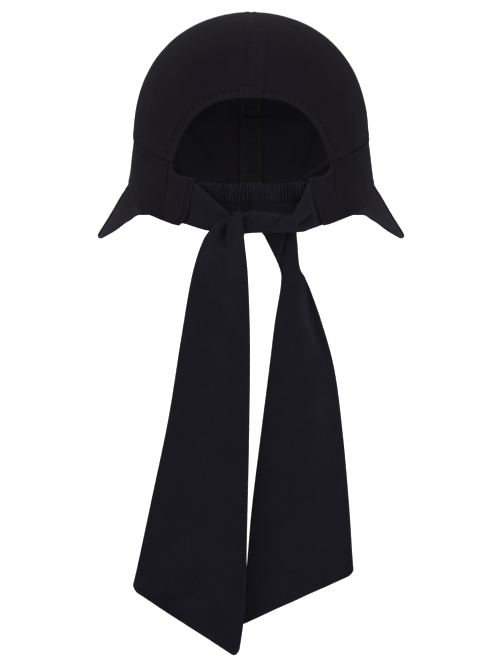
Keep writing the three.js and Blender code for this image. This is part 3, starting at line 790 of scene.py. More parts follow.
def crownPanel(index, name):
    sizes, tones, hem, wall = crownSizes, crownTones, openingForm, capForm["clothWall"]
    isBack, start = index in (0, 5), index * 60.0
    shares, rowShares = crownShares(index)
    leaning = {0: 1 - shares, 5: shares}.get(index, 0 * shares)  # share of the seam's lean in each column
    upright = lapped(start + 60 * shares)
    azimuth = upright
    for _ in range(4):
        low, isHem = crownLowEdge(azimuth)
        azimuth = upright + leanTurn(low) * leaning
    rise = lerp(low, sizes["tip"], rowShares[:, None])
    middle = domePoints(upright + leanTurn(rise) * leaning, rise, wall / 2)
    normals, across, height = measured(middle)
    width = across[:, -1:]
    levels = sizes["tip"] * rowShares
    climb = alongRows(domePoints(azimuth, levels[:, None] + 0 * rise, 0))

    def climbTo(level):  # length up the dome from its foot, in each column
        return np.stack([np.interp(level[..., k], levels, climb[:, k]) for k in range(len(shares))], -1)

    meridian = climbTo(rise)
    yokeFar = np.clip(meridian - climbTo(riseAt(yokeSeam(azimuth))), 0, None)
    fromEnd = width - across
    seam = np.minimum(across, fromEnd)
    sewn = (index in (0, 3), index in (2, 5))  # only the centre seams are topstitched
    stitched = np.where(across < fromEnd, *sewn)
    hemFar, hemPlace = nearArch(middle) if isBack else (np.full(rise.shape, 99.0), 0 * rise)
    lowFar = np.where(isHem, np.minimum(hemFar, height), height)
    topFar = height[-1:] - height
    atYoke = smoothStep(0.0, 2.5, turnFromBack(azimuth) - openingCorner)
    hemHalf = roundedHalf(lowFar, wall)
    edgeRise = lerp(-0.9 * wall / 2, wall / 2, quarterRound(height, sizes["edgeRound"]))
    rowFar = lerp(*sizes["seamRow"], smoothStep(0.5, 0.9, rise))
    rowFar = np.minimum(rowFar, 0.36 * width)
    room = smoothStep(3, 14, width)  # everything at the seams fades towards the narrow tip
    pressed = 1 - smoothStep(rowFar - 0.6, rowFar + 1.2, seam)
    sewnFar = seam - rowFar
    lift = lerp(*sizes["pressedLift"], stitched) * pressed
    lift = room * (lift - raised(seam, lerp(*sizes["seamDip"], stitched), sizes["seamDipWidth"]))
    lift = lift - stitched * room * raised(sewnFar, *sizes["stitchDip"])
    wave = puckers(meridian, sizes["puckerPitch"], middle, 3.0, 14.0, index + 1)
    wave = wave * lerp(sizes["plainPucker"], 1.0, stitched) * room
    lift = lift + wave * raised(sewnFar, *sizes["pucker"])
    onHem = 1 - smoothStep(hem["hem"] - 0.7, hem["hem"] + 0.8, hemFar)
    rowLine = hemFar - hem["hemStitch"]
    beaded = puckers(hemPlace, hem["hemBead"], middle, 2.0, 11.0, 31)
    beaded = beaded * ridge(rowLine, sizes["beadWidth"])
    lift = lift + sizes["hemLift"] * onHem + raised(hemFar, *sizes["hemRoll"])
    lift = lift - raised(rowLine, *sizes["hemDip"]) + sizes["beadLift"] * beaded
    swell = swells(middle, *sizes["wrinkles"])
    lift = (lift + swell) * smoothStep(0, 3.5, yokeFar) + raised(yokeFar, *sizes["yokeRoll"])
    outer, inner = walls(middle, normals, lerp(hemHalf, edgeRise, atYoke) + lift,
                         0.8 * swell * smoothStep(0, 8, yokeFar) - lerp(hemHalf, wall / 2, atYoke))
    # Wear and a painted highlight along the hem, painted shade on the yoke seam and in the stitch dips,
    # painted light and shade on the puckers
    wearAndPaintedLight = fading(hemFar, *tones["hem"]) + raised(yokeFar, *tones["yoke"]) + tones["beads"] * beaded
    wearAndPaintedLight = wearAndPaintedLight + room * stitched * (tones["pressed"] * pressed + raised(sewnFar, *tones["stitches"]))
    # The inside takes the crown's inside tone: partly the cloth's paler back, partly painted light on the
    # shaded inside
    makeShell(name + "_cloth", outer, inner, (across - width / 2, meridian), wearAndPaintedLight, "crownCloth", name,
              innerWearAndPaintedLight=insideToneAndPaintedLight["crown"] + 0 * wearAndPaintedLight)
    rowIndex = np.arange(len(rowShares), dtype=float)
    rows = []
    for isSewn, lines, goal in zip(sewn, (across, -fromEnd), (rowFar[:, 0], -rowFar[:, 0])):
        if isSewn:
            place = reached(lines, goal)
            keep = (topFar[:, 0] > sizes["tipClear"]) & (rowIndex > 2)
            keep &= sampleGrid(lowFar[..., None], rowIndex, place)[:, 0] > sizes["hemClear"]
            rows.append(sampled(outer, normals, rowIndex[keep], place[keep]))
    if isBack:
        line = grownArch(hem["hemStitch"])
        line = line[line[:, 1] > capForm["yokeHeight"] + 0.6]
        hemTurn, hemRise = domeAt(line[:, 0], line[:, 1], 0)
        lean, past = leanTurn(hemRise), (hemTurn - start) % 360
        share = (past - lean) / (60 - lean) if index == 0 else past / (60 + lean)
        here = (share > 0.01) & (share < 0.99)
        share, hemRise = share[here], hemRise[here]
        lowHere = np.interp(share, shares, low)
        column = np.interp(share, shares, np.arange(len(shares)))
        row = np.interp((hemRise - lowHere) / (sizes["tip"] - lowHere), rowShares, rowIndex)
        rows.append(sampled(outer, normals, row, column))
    return rows


panelNames = ["back_right", "side_right", "front_right", "front_left", "side_left", "back_left"]
crownRows = []
for panelIndex, panelPlace in enumerate(panelNames):
    crownRows += crownPanel(panelIndex, "crown_" + panelPlace)
sewRows("crown_stitches", crownRows, "crown_cloth")
print("crown sewn from", len(panelNames), "panels")


# Facing: the turned strip behind the edge of the opening
facingSizes = {"wall": 1.2, "clear": 0.25, "width": 8.0, "steps": (0.12, 0.8),
               "pucker": (0.12, 3.0, 5.0), "wearAndPaintedLight": (0.9, 1.2)}


def openingFacing():
    sizes = facingSizes
    inset = capForm["clothWall"] + sizes["clear"] + sizes["wall"] / 2
    grown = sizes["width"] * gradedShares(sizes["width"], *sizes["steps"])
    flat = np.stack([grownArch(far) for far in grown])[:, ::-1]  # from the left-hand foot onwards
    flat = flat[:, flat[0, :, 1] > capForm["yokeHeight"] + 0.5]
    middle = domePoints(*domeAt(flat[..., 0], flat[..., 1], inset), inset)
    normals, along, across = measured(middle)
    half = roundedHalf(fromEdge(along, across), sizes["wall"])
    lift = np.sin(2 * np.pi * along / openingForm["hemBead"]) * raised(across, *sizes["pucker"])
    outer, inner = walls(middle, normals, half + lift, lift - half)
    # Lighter towards the opening's edge: rubbed wear and a painted highlight on the turned edge
    makeShell("opening_facing_cloth", outer, inner, (along, across), fading(across, *sizes["wearAndPaintedLight"]),
              "crownCloth", "opening_facing")


# Patch: the end of the centre back seam's tape, turned over the opening's edge
patchSizes = {"halfWidth": 7.6, "height": 6.4, "under": 0.2, "wall": 0.9, "proud": 0.55,
              "steps": {"across": (0.1, 0.7), "up": (0.1, 0.6)}, "crumple": (0.12, 4.0, 61),
              "sewnDip": (0.25, 0.5, 1.5), "paler": 0.5, "wearAndPaintedLight": (0.5, 0.7)}


def hemPatch():
    sizes = patchSizes
    x = sizes["halfWidth"] * (2 * gradedShares(2 * sizes["halfWidth"], *sizes["steps"]["across"]) - 1)
    tall = sizes["height"] + sizes["under"]
    far = tall * gradedShares(tall, *sizes["steps"]["up"]) - sizes["under"]
    flat = np.interp(x, arch[::-1, 0], arch[::-1, 1]) + far[:, None]
    middle = domePoints(*domeAt(x + 0 * flat, flat, -sizes["proud"]), -sizes["proud"])
    normals, across, up = measured(middle)
    edge = fromEdge(across, up)
    half = roundedHalf(edge, sizes["wall"])
    lift = swells(middle, sizes["crumple"]) - raised(edge, *sizes["sewnDip"])
    outer, inner = walls(middle, normals, half + lift, -half)
    wearAndPaintedLight = sizes["paler"] + fading(edge, *sizes["wearAndPaintedLight"])
    makeShell("opening_patch", outer, inner, (across, up), wearAndPaintedLight, "crownCloth")


openingFacing()
hemPatch()
print("opening faced")


# Band: two halves from the tab's seam to the centre front
def bandHalf(side, name):
    sizes, tones, wall = bandSizes, bandTones, capForm["clothWall"]
    near, far = sorted((side * sizes["tabSeam"], side * 180.0))
    azimuth = lapped(lerp(near, far, gradedShares(sizes["length"], *sizes["steps"]["across"])))
    rowShares = gradedShares(sizes["height"], *sizes["steps"]["up"])[:, None]
    seam = yokeSeam(azimuth)
    height = lerp(rimHeight(azimuth), seam + sizes["tuckRise"], rowShares)
    turn = np.broadcast_to(azimuth, height.shape)
    middle = wallPoints(turn, height, wall / 2)
    normals, across, up = measured(middle)
    sideFar = np.minimum(across, across[:, -1:] - across)
    yokeFar = np.abs(up[-1:] - up - sizes["tuckRise"])
    rowFar = yokeFar - sizes["yokeStitch"]
    wave = puckers(across, sizes["puckerPitch"], middle, 3.0, 16.0, 9)
    lift = raised(up, *sizes["edgeRoll"]) - raised(rowFar, *sizes["stitchDip"])
    lift = lift + wave * raised(rowFar, *sizes["pucker"])
    swell = swells(middle, *sizes["waves"])
    atSide = smoothStep(0, 2.6, sideFar)
    lift = (lift + swell) * atSide * smoothStep(0, 1.4, yokeFar) + raised(yokeFar, *sizes["yokeRoll"])
    groove = np.where(np.abs(turn) > 120, sizes["frontGroove"], tabGroove(height))
    lift = lift - raised(sideFar, groove, sizes["grooveWidth"])
    half = roundedHalf(up, wall)
    tuck = smoothStep(-1.0, 0.8, height - seam)
    inside = 0.5 * swell * atSide * smoothStep(1, 8, yokeFar)
    dent, paintedCreaseShading = insideCrease(side, turn, height)
    outer, inner = walls(middle, normals, half - sizes["tuckOuter"] * tuck + lift,
                         sizes["tuckInner"] * tuck + inside + dent - half)
    # Painted shade along the stitch row and painted light beside the peak; inside, painted light along the
    # foot and the creases' painted shade
    wearAndPaintedLight = fading(up, *tones["foot"]) + raised(yokeFar, *tones["yoke"]) + raised(rowFar, *tones["stitches"])
    paintedLightBesidePeak = smoothStep(74, 83, np.abs(middle[..., 0])) * smoothStep(36, 14, height)
    wearAndPaintedLight = wearAndPaintedLight + tones["paintedLightBesidePeak"] * paintedLightBesidePeak
    innerWearAndPaintedLight = insideToneAndPaintedLight["band"] + fading(up, *tones["insideFootPaintedLight"]) + paintedCreaseShading
    makeShell(name + "_cloth", outer, inner, (across, up), wearAndPaintedLight, "bandCloth", name, innerWearAndPaintedLight=innerWearAndPaintedLight)
    row = reached((up - up[-1:]).T, -sizes["yokeStitch"] - sizes["tuckRise"])
    keep = np.flatnonzero(sideFar[-1] > 1.5)
    return [sampled(outer, normals, row[keep], keep)]


bandRows = bandHalf(-1, "band_left") + bandHalf(1, "band_right")
sewRows("band_stitches", bandRows, "band_cloth")
print("band sewn")


# Tabs: short ends of the band under the opening's lower corners, which hold the elastic and the ties
tabSizes = {
    "ends": {  # azimuth of the free end at the top and the foot, and how far its lower corner is cut back
        "left": {"high": 26.4, "low": 30.6, "corner": 3.2, "lift": 0.8, "crease": 1.0},
        "right": {"high": 27.3, "low": 33.6, "corner": 0.4, "lift": 0.5, "crease": 0.4},
    },
    "cornerHeight": 8.0,
    "endStitch": 4.2,
    "stitchClear": 1.8,
    "stitchDip": (0.5, 0.75),
    "endRoll": (0.3, 1.4, 1.6),
    "topRoll": (0.35, 1.3, 1.6),
    "footRoll": (0.35, 1.6, 1.6),
    "pucker": (0.14, 2.4),
    "puckerPitch": 4.6,
    "waves": ((0.3, 15.0, 17), (0.12, 7.0, 18)),
    "mesh": {"free": (13.0, 0.12, 0.7), "corner": (2.0, 0.1, 0.5), "up": (34.0, 0.12, 0.8)},
}
# Tab tones: lighter at the end, foot and top edges as rubbed wear and a painted highlight; painted shade in
# the dip of the stitch row
tabTones = {"level": 0.35, "edge": (0.6, 1.1), "top": (1.3, 1.2), "stitches": (-1.1, 0.8)}


def tabTop(azimuth):
    x = capForm["yokeHalfWidth"] * np.sin(np.radians(np.abs(azimuth)))
    radius = openingForm["corner"]
    past = np.clip(x - (openingForm["halfWidth"] - radius), 0, radius)
    arc = openingForm["sill"] + radius - np.sqrt(np.clip(radius ** 2 - past ** 2, 0, None))
    return np.where(x > openingForm["halfWidth"], yokeSeam(azimuth), arc)


def bandTab(side, place):
    sizes, tones, wall = tabSizes, tabTones, capForm["clothWall"]
    end = sizes["ends"][place]
    cornerTurn = float(np.degrees(np.arcsin(openingForm["halfWidth"] / capForm["yokeHalfWidth"])))
    sewn = bandSizes["tabSeam"]
    cornerShare = 1 - (sewn - cornerTurn) / (sewn - end["low"])
    low = lerp(0, cornerShare, gradedShares(*sizes["mesh"]["free"]))
    high = lerp(cornerShare, 1, gradedShares(*sizes["mesh"]["corner"]))
    shares = np.concatenate([low[:-1], high])  # 0 at the free end, 1 at the sewn seam
    rowShares = gradedShares(*sizes["mesh"]["up"])[:, None]
    cut = rowShares * (openingForm["sill"] - rimHeight(end["low"])) / sizes["cornerHeight"]
    free = lerp(end["low"], end["high"], rowShares) + end["corner"] * np.clip(1 - cut, 0, 1) ** 2
    stretch = np.clip(shares / cornerShare, 0, 1)
    beyond = np.clip((shares - cornerShare) / (1 - cornerShare), 0, 1)
    turn = lerp(lerp(free, cornerTurn, stretch), sewn, beyond)
    if side < 0:
        turn = -turn[:, ::-1]
    height = lerp(rimHeight(turn), tabTop(turn), rowShares)
    middle = wallPoints(turn, height, wall / 2)
    normals, across, up = measured(middle)
    endFar = across if side > 0 else across[:, -1:] - across
    sewnFar = across[:, -1:] - endFar
    topFar = up[-1:] - up
    rowFar = endFar - sizes["endStitch"]
    half = roundedHalf(np.minimum(endFar, np.minimum(up, topFar)), wall)
    lift = end["lift"] * (1 - smoothStep(5.5, 9.0, endFar))  # the ties come out from under the end
    lift = lift - end["crease"] * raised(rowFar, *sizes["stitchDip"]) + raised(endFar, *sizes["endRoll"])
    lift = lift + raised(topFar, *sizes["topRoll"]) + raised(up, *sizes["footRoll"])
    lift = lift + np.sin(2 * np.pi * up / sizes["puckerPitch"]) * raised(rowFar, *sizes["pucker"])
    lift = lift + swells(middle, *sizes["waves"])
    lift = lift * smoothStep(0, 2.6, sewnFar) - raised(sewnFar, tabGroove(height), bandSizes["grooveWidth"])
    outer, inner = walls(middle, normals, half + lift, lift - half)
    # Wear and a painted highlight along the edges, painted shade in the stitch row's dip
    wearAndPaintedLight = tones["level"] + fading(np.minimum(endFar, up), *tones["edge"]) + fading(topFar, *tones["top"])
    wearAndPaintedLight = wearAndPaintedLight + end["crease"] * raised(rowFar, *tones["stitches"])
    makeShell("tab_" + place + "_cloth", outer, inner, (across, up), wearAndPaintedLight, "bandCloth", "tab_" + place)
    column = reached(side * endFar, side * sizes["endStitch"])
    keep = np.flatnonzero(np.minimum(up, topFar)[:, 0] > sizes["stitchClear"])
    return [sampled(outer, normals, keep, column[keep])]


tabRows = bandTab(-1, "left") + bandTab(1, "right")
sewRows("tab_stitches", tabRows, "band_cloth", pitch=2.4, length=1.9)
print("tabs sewn")


# Elastic: a casing gathered into upright folds
elasticSizes = {
    "reach": {"left": 30.6, "right": 31.6},
    "foot": -1.0,
    "head": 27.8,
    "wall": 1.5,
    "inset": 2.2,
    "gathers": 40,
    "columnsEach": 14,
    "mesh": (29.6, 0.16, 1.0),  # the height, and the steps at the edges and in the middle
    "depth": 1.5,
    "fineDepth": 1.0,
    "fineShare": 1.5,  # so many more gathers below the stitches
    "stitchHeight": 15.4,
    "stitchWidth": 0.8,
    "stitchDip": 0.4,
    "uneven": (0.7, 6.0, 23, 0.3),
    "scallop": 0.6,
    "sag": (0.5, 24.0, 24),
}
# Elastic tones: gathers lighter on their crests and darker between as painted light and shade, a painted
# highlight along the top edge, painted shade along the stitches, and painted light low down where the ties'
# shadow falls
elasticTones = {"level": 0.16, "folds": 0.4, "head": (0.9, 1.5), "stitches": -0.5, "paintedLightInTieShadow": 1.8}


def gatherWaves(base, shares, count, seed):
    drift = swells(base, (3.6, 9.0, seed, 0.25), (2.0, 4.6, seed + 1, 0.7))
    fold = np.sin(2 * np.pi * count * shares + drift)
    return np.sign(fold) * np.abs(fold) ** 0.8


def backElastic():
    sizes, tones = elasticSizes, elasticTones
    shares = np.linspace(0, 1, sizes["gathers"] * sizes["columnsEach"] + 1)
    rowShares = gradedShares(*sizes["mesh"])
    turn, height = np.meshgrid(lerp(-sizes["reach"]["left"], sizes["reach"]["right"], shares),
                               lerp(sizes["foot"], sizes["head"], rowShares))
    inset = sizes["inset"] + sizes["wall"] / 2 + sizes["depth"] / 2
    base = bandPoints(turn, height, inset)
    coarse = gatherWaves(base, shares, sizes["gathers"], 21)
    fine = gatherWaves(base, shares, sizes["gathers"] * sizes["fineShare"], 27)
    above = smoothStep(-1.2, 1.2, height - sizes["stitchHeight"])
    size = 0.8 + swells(base, sizes["uneven"])
    gathered = lerp(sizes["fineDepth"] * fine, sizes["depth"] * coarse, above) / 2 * size
    sewn = ridge(height - sizes["stitchHeight"], sizes["stitchWidth"])
    rise = rowShares[:, None]
    scallop = sizes["scallop"] * coarse * (smoothStep(0.8, 1.0, rise) - smoothStep(0.2, 0.0, rise))
    middle = bandPoints(turn, height + scallop, inset)
    normals = gridNormals(bandPoints(turn, height, sizes["inset"]))
    lift = gathered * (1 - 0.5 * sewn) - sizes["stitchDip"] * sewn + swells(base, sizes["sag"])
    across, up = alongColumns(base), alongRows(base)
    half = roundedHalf(fromEdge(across, up), sizes["wall"])
    outer, inner = walls(middle, normals, half + lift, lift - half)
    # Painted light and shade on the gathers and along the stitches, and a painted highlight on the top edge
    wearAndPaintedLight = tones["level"] + tones["folds"] * gathered + tones["stitches"] * sewn
    wearAndPaintedLight = wearAndPaintedLight + fading(up[-1:] - up, *tones["head"])
    # Painted light: the elastic is made paler low down, where the ties' shadow falls
    paintedLightInTieShadow = 1 - smoothStep(5.0, sizes["stitchHeight"], height)
    wearAndPaintedLight = wearAndPaintedLight + tones["paintedLightInTieShadow"] * paintedLightInTieShadow  # paler where the ties shade it
    makeShell("back_elastic_casing", outer, inner, (across, up), wearAndPaintedLight, "elasticCloth", "back_elastic")


backElastic()
print("elastic gathered")


# Tape over the centre front seam, inside, with ribs across it
tapeSizes = {
    "width": 15.0,
    "wall": 0.9,
    "clear": 0.45,
    "bandHalfWidth": 80.0,
    "footLift": 4.6,  # above the band's lower edge, clear of the peak's turned-in edge
    "topRise": 0.86,
    "rows": {"band": 40, "dome": 120},
    "steps": (0.14, 1.2),
    "ribPitch": 1.7,
    "ribRadius": 0.42,
    "ribFlat": 0.6,  # its height as a share of its radius
    "ribShort": 1.2,  # than the tape is wide
    "seamDent": 0.35,
    "seamClear": 1.5,  # no rib lies this close to the seam under the tape
}
tapeTones = {"edge": (0.7, 0.8), "dent": -0.5, "toneShift": (0.5, 9.0, 71)}
rod = {"Vertices": 8, "Radius": 1.0, "Depth": 1.0}


def frontTape():
    sizes, tones = tapeSizes, tapeTones
    inset = capForm["clothWall"] + sizes["clear"] + sizes["wall"] / 2
    foot = float(rimHeight(180)) + sizes["footLift"]
    onBand = np.linspace(foot, capForm["yokeHeight"], sizes["rows"]["band"])[:-1]
    onDome = np.linspace(0, sizes["topRise"], sizes["rows"]["dome"])
    shares = gradedShares(sizes["width"], *sizes["steps"])
    offset = lerp(sizes["width"] / 2, -sizes["width"] / 2, shares)

    def around(halfWidth):
        return 180 - np.degrees(np.arcsin(offset / halfWidth))

    reach = [float(domePoints(90.0, r, inset)[0]) for r in onDome]
    low = [bandPoints(around(sizes["bandHalfWidth"]), h, inset) for h in onBand]
    high = [domePoints(around(w), r, inset) for r, w in zip(onDome, reach)]
    middle = np.array(low + high)
    normals = gridNormals(middle)
    seamFar = middle[..., 2] - float(yokeSeam(180))
    dent = ridge(seamFar, sizes["seamClear"])
    middle = walls(middle, normals, sizes["seamDent"] * dent)[0]
    across, up = alongColumns(middle), alongRows(middle)
    edge = fromEdge(across, up)
    half = roundedHalf(edge, sizes["wall"])
    # Edges lighter as wear, random blotches, and painted shade in the dent over the seam
    wearAndPaintedLight = fading(edge, *tones["edge"]) + tones["dent"] * dent + swells(middle, tones["toneShift"])
    makeShell("front_seam_tape_strip", *walls(middle, normals, half, -half), (across, up), wearAndPaintedLight,
              "seamTape", "front_seam_tape")
    centre = len(shares) // 2
    line = middle[:, centre] - normals[:, centre] * sizes["wall"] / 2
    rowIndex = np.arange(len(line))
    runs = [(seamFar[:, centre] < -sizes["seamClear"]) & (rowIndex > 0),
            (seamFar[:, centre] > sizes["seamClear"]) & (rowIndex < len(line) - 1)]
    size = (sizes["ribRadius"], sizes["ribRadius"] * sizes["ribFlat"], sizes["width"] - sizes["ribShort"])
    ribs = unitTree("tapeRibs", "GeometryNodeMeshCylinder", rod, (math.pi / 2, 0.0, 0.0))
    unitsAlong("front_tape_ribs", [(line[run], -normals[run, centre]) for run in runs], ribs,
               cloth["seamTape"], "seam_tape", sizes["ribPitch"], size)


frontTape()
print("front seam taped")


# Peak: a stiffened cover that leaves the band's lower edge and falls away to its sides
peakSizes = {
    "wall": 2.6,
    "flangeWall": 0.8,  # the turned-up edge that is sewn in behind the band
    "flangeRise": 3.6,
    "flangeInset": {"foot": 2.15, "top": 1.2},  # its top runs out inside the band's wall
    "flangeShares": (0, 0.04, 0.12, 0.3, 0.6),
    "bendReach": 2.5,
    "bendSteps": 6,
    "rootDrop": 0.4,
    "halfTurn": 95.0,
    "mesh": {"across": (420.0, 0.5, 1.9), "out": (62.0, 0.2, 1.5)},
    "edgeStitch": 6.0,
    "stitchRoom": 5.0,  # the row ends where the peak is narrower than both
    "stitchDip": (0.3, 0.8),
    "pucker": (0.08, 2.5),
    "puckerPitch": 6.8,
    "edgeRoll": (0.25, 1.6, 2.2),
    "wave": (0.35, 42.0, 42),
}
# Peak tones: edges lighter as rubbed wear; the wings' edges also get a painted highlight
peakTones = {"edge": (0.5, 1.3), "wingEdgeHighlight": (1.9, 1.1)}
peakRows = {
    "turn": (0, 20, 35, 43, 52, 62, 67, 75, 80, 88, 95),
    "reach": (66, 64, 60.5, 59, 60, 60, 56, 39.5, 25, 8.5, 1.5),
    "fall": (24, 26.5, 33.2, 43.4, 50.7, 54, 55, 58, 59.5, 60.5, 61),
}


def sunPeak():
    sizes, tones, wall = peakSizes, peakTones, peakSizes["wall"]
    shares = gradedShares(*sizes["mesh"]["across"])[::-1]  # the upper side comes first
    azimuth = lerp(180 - sizes["halfTurn"], 180 + sizes["halfTurn"], shares)
    turn = turnFromFront(azimuth)
    reach = smoothThrough(peakRows["turn"], peakRows["reach"], turn)[:, None]
    fall = np.radians(smoothThrough(peakRows["turn"], peakRows["fall"], turn))[:, None]
    rim = rimHeight(azimuth)
    root = bandPoints(azimuth, rim - sizes["rootDrop"], 0.0)
    out = unit(root * np.array([1 / capForm["rimHalfWidth"] ** 2, 1 / capForm["rimHalfLength"] ** 2, 0.0]))
    down = np.array([0.0, 0.0, -1.0])
    slope = out * np.cos(fall) + down * np.sin(fall)
    start = root + (down * np.cos(fall) - out * np.sin(fall)) * wall / 2
    bendEnd = start + slope * np.minimum(sizes["bendReach"], 0.6 * reach)
    flangeTop = bandPoints(azimuth, rim + sizes["flangeRise"], sizes["flangeInset"]["top"])
    flangeFoot = bandPoints(azimuth, rim, sizes["flangeInset"]["foot"])
    edge = start + slope * reach
    flange = [lerp(flangeTop, flangeFoot, s) for s in sizes["flangeShares"]]
    bend = [lerp(lerp(flangeFoot, start, s), lerp(start, bendEnd, s), s)
            for s in np.linspace(0, 1, sizes["bendSteps"], endpoint=False)]
    spread = [lerp(bendEnd, edge, s) for s in gradedShares(*sizes["mesh"]["out"])]
    middle = np.stack(flange + bend + spread)
    normals, across, up = measured(middle)
    edgeFar = up[-1:] - up
    past = up - sizes["flangeRise"]  # distance past the turned-up edge
    wallHere = lerp(sizes["flangeWall"], wall, smoothStep(1.0, 6.0, past))
    half = roundedHalf(fromEdge(across, up), wallHere)
    lift = swells(middle, sizes["wave"]) * smoothStep(2.0, 12.0, past)
    rowFar = edgeFar - sizes["edgeStitch"]
    wave = puckers(across, sizes["puckerPitch"], middle, 2.5, 18.0, 41)
    relief = raised(edgeFar, *sizes["edgeRoll"]) - raised(rowFar, *sizes["stitchDip"])
    relief = (relief + wave * raised(rowFar, *sizes["pucker"])) * smoothStep(4.0, 9.0, past)
    upper, lower = walls(middle, normals, half + lift + relief, lift - half - relief)
    # Tones of the peak: edges lighter as rubbed wear, with a painted highlight along the wings' edges;
    # underneath, painted shade in the middle and painted light on the wings that grows outwards, while the
    # turned-up edge takes the band's inside tone
    outward = np.abs(middle[..., 0])
    paintedWingShare = smoothStep(70, 84, outward)
    toneShift = fading(edgeFar, *tones["edge"]) + paintedWingShare * raised(edgeFar, *tones["wingEdgeHighlight"])
    wingPaintedLight = lerp(insideToneAndPaintedLight["wingRootPaintedLight"], insideToneAndPaintedLight["wingTipPaintedLight"], smoothStep(82, 104, outward))
    under = lerp(insideToneAndPaintedLight["peakMiddlePaintedShade"], wingPaintedLight, paintedWingShare)
    under = lerp(insideToneAndPaintedLight["band"], under, smoothStep(-1.5, 0.5, past))
    makeShell("peak_cover", upper, lower, (across, up), toneShift, "peakCloth", "peak", innerWearAndPaintedLight=toneShift + under)
    keep = np.flatnonzero(reach[:, 0] > sizes["edgeStitch"] + sizes["stitchRoom"])
    row = reached(-edgeFar.T, -sizes["edgeStitch"])
    return [sampled(side, normals, row[keep], keep) for side in (upper, lower)]


sewRows("peak_stitches", sunPeak(), "peak_cloth")
print("peak covered")


# Ties: two turned tubes of cloth, flared to slanted ends, in a half knot over the elastic
# Each row is a section: its two edges, its thickness and how far its middle bows
tieSizes = {
    "usualWidth": 46.0,  # for the spacing of the mesh, with the steps
    "step": 1.15,
    "stepAcross": 1.2,
    "edgeStep": 0.2,
    "dense": 2400,  # places at which the length is measured
    "cornerRadius": 6.0,
    "edgePucker": (0.22, 3.0),
    "puckerPitch": 9.5,
    "uneven": (2, 20.0, 53),
    "sway": (0.9, 16.0, 51, 0.3),
    "crumple": (0.25, 9.0, 52),
    "edgeWearAndHighlight": (0.6, 1.0),
}
tieColumns = ("at", "first", "second", "thick", "cup")
rightTieRows = [
    ("under the tab", (42.3, -80.6, 27.5), (49.2, -77.6, -1.6), 1.2, 0),
    ("tab", (37.7, -85.6, 27.5), (44.5, -83.2, -2.2), 1.3, 0),
    ("over the elastic", (34.1, -91.3, 20.6), (37.9, -90, -3), 2, 0.5),
    ("drawn in", (30.6, -97, 14.8), (33.4, -97.4, -3), 3, 0.8),
    ("knot, right", (26.3, -102.5, 9.8), (28.8, -103.2, -2.2), 4, 0),
    ("strand", (19.3, -108, 10.4), (20, -108.4, -1.3), 4.6, 0),
    ("knot, front", (7.5, -110.5, 13), (7.5, -110.5, -0.8), 4.6, 0),
    ("knot, left", (-3.4, -110.6, 12.6), (-5.2, -110.6, -1.7), 4.2, 0),
    ("knot, turning down", (-8.8, -110.2, 7.6), (-6.4, -109.9, -3.4), 3.4, 0),
    ("knot, foot", (-13.5, -108.9, -3.2), (-5.2, -108.3, -5), 2.8, 0),
    ("under the other tie", (-14.5, -103, -5), (-4.6, -103, -5.4), 2.4, 0),
    ("behind, low", (-14.5, -99.4, -1), (-4, -99.4, -1), 2.2, 0),
    ("behind, high", (-13.6, -99.4, 6.4), (-4.4, -99.4, 6.4), 2.2, 0),
    ("over the top", (-12.2, -103.8, 10.7), (-5.2, -103.8, 10.9), 2.4, 0),
    ("knot, brow", (-12.2, -111.6, 9.7), (-6, -112, 11.2), 2.4, 0),
    ("shoulder", (-19.2, -115.6, 8), (-5.7, -116.2, 8.4), 2.4, 1),
    ("lobe", (-25.2, -116, 3.6), (-5, -117, 3.6), 2.2, 2),
    ("tail, top", (-31.6, -115.5, -5.4), (-4.2, -117, -5), 1.8, 2.5),
    ("tail, upper", (-39, -115.5, -29), (-1.9, -116.5, -29), 1.6, 2),
    ("tail, middle", (-46.4, -115.5, -72), (-0.5, -115.5, -72), 1.6, 1.5),
    ("tail, lower", (-55, -115.5, -126), (-0.9, -115.5, -126), 1.6, 1),
    ("tail, low", (-66.8, -115.5, -183), (-2.1, -115.5, -187), 1.6, 1),
    ("above the hem", (-75.4, -115.5, -224), (-4, -115.5, -254), 1.6, 0.5),
    ("hem", (-79.8, -115.5, -243), (-8.4, -115.5, -291.4), 1.4, 0),
]
leftTieRows = [
    ("under the tab", (-41.6, -80.9, 27.5), (-48.1, -78.2, -0.6), 1.2, 0),
    ("tab", (-36.6, -86.3, 27.5), (-43.2, -83.8, -0.6), 1.3, 0),
    ("over the elastic", (-29.8, -92.4, 23), (-36, -90.2, -1.6), 2, -0.5),
    ("drawn in", (-23, -97.3, 17.6), (-27.5, -97, -2.4), 2.8, -0.5),
    ("knot, left", (-15, -103.3, 11.4), (-17, -103.3, -2), 3, 0),
    ("through the loop", (-8.8, -104.1, 8.4), (-8.8, -104.1, -1.6), 3.4, 0),
    ("behind the strand", (3, -103, 10.4), (1.5, -103, -1.2), 3, 0),
    ("fanning out", (16, -100.5, 10.2), (4.6, -101.8, -1.4), 2.8, 0),
    ("turning down", (28.2, -96.2, 6.5), (7.3, -100.6, -3.4), 2.6, 0),
    ("tail, top", (30.4, -97.6, -8), (10.2, -99.5, -8.5), 2.6, -1),
    ("tail, neck", (32.2, -101, -26), (18.3, -101.5, -25.5), 3.4, -1),
    ("below the neck", (37.8, -102, -37.5), (19.6, -102, -36.5), 3, -1.5),
    ("tail, upper", (46.9, -102, -63), (15.5, -102, -63), 2, -2),
    ("tail, middle", (55.6, -102, -96), (11.6, -102, -96), 1.6, -1.5),
    ("tail, lower", (61.3, -102, -140), (6.2, -102, -140), 1.6, -1),
    ("tail, low", (65.6, -102, -187), (0, -102, -193), 1.6, -1),
    ("above the hem", (68, -102, -222), (-4.4, -102, -246), 1.6, -0.5),
    ("hem", (69.2, -102, -236), (-9.6, -102, -273.4), 1.4, 0),
]

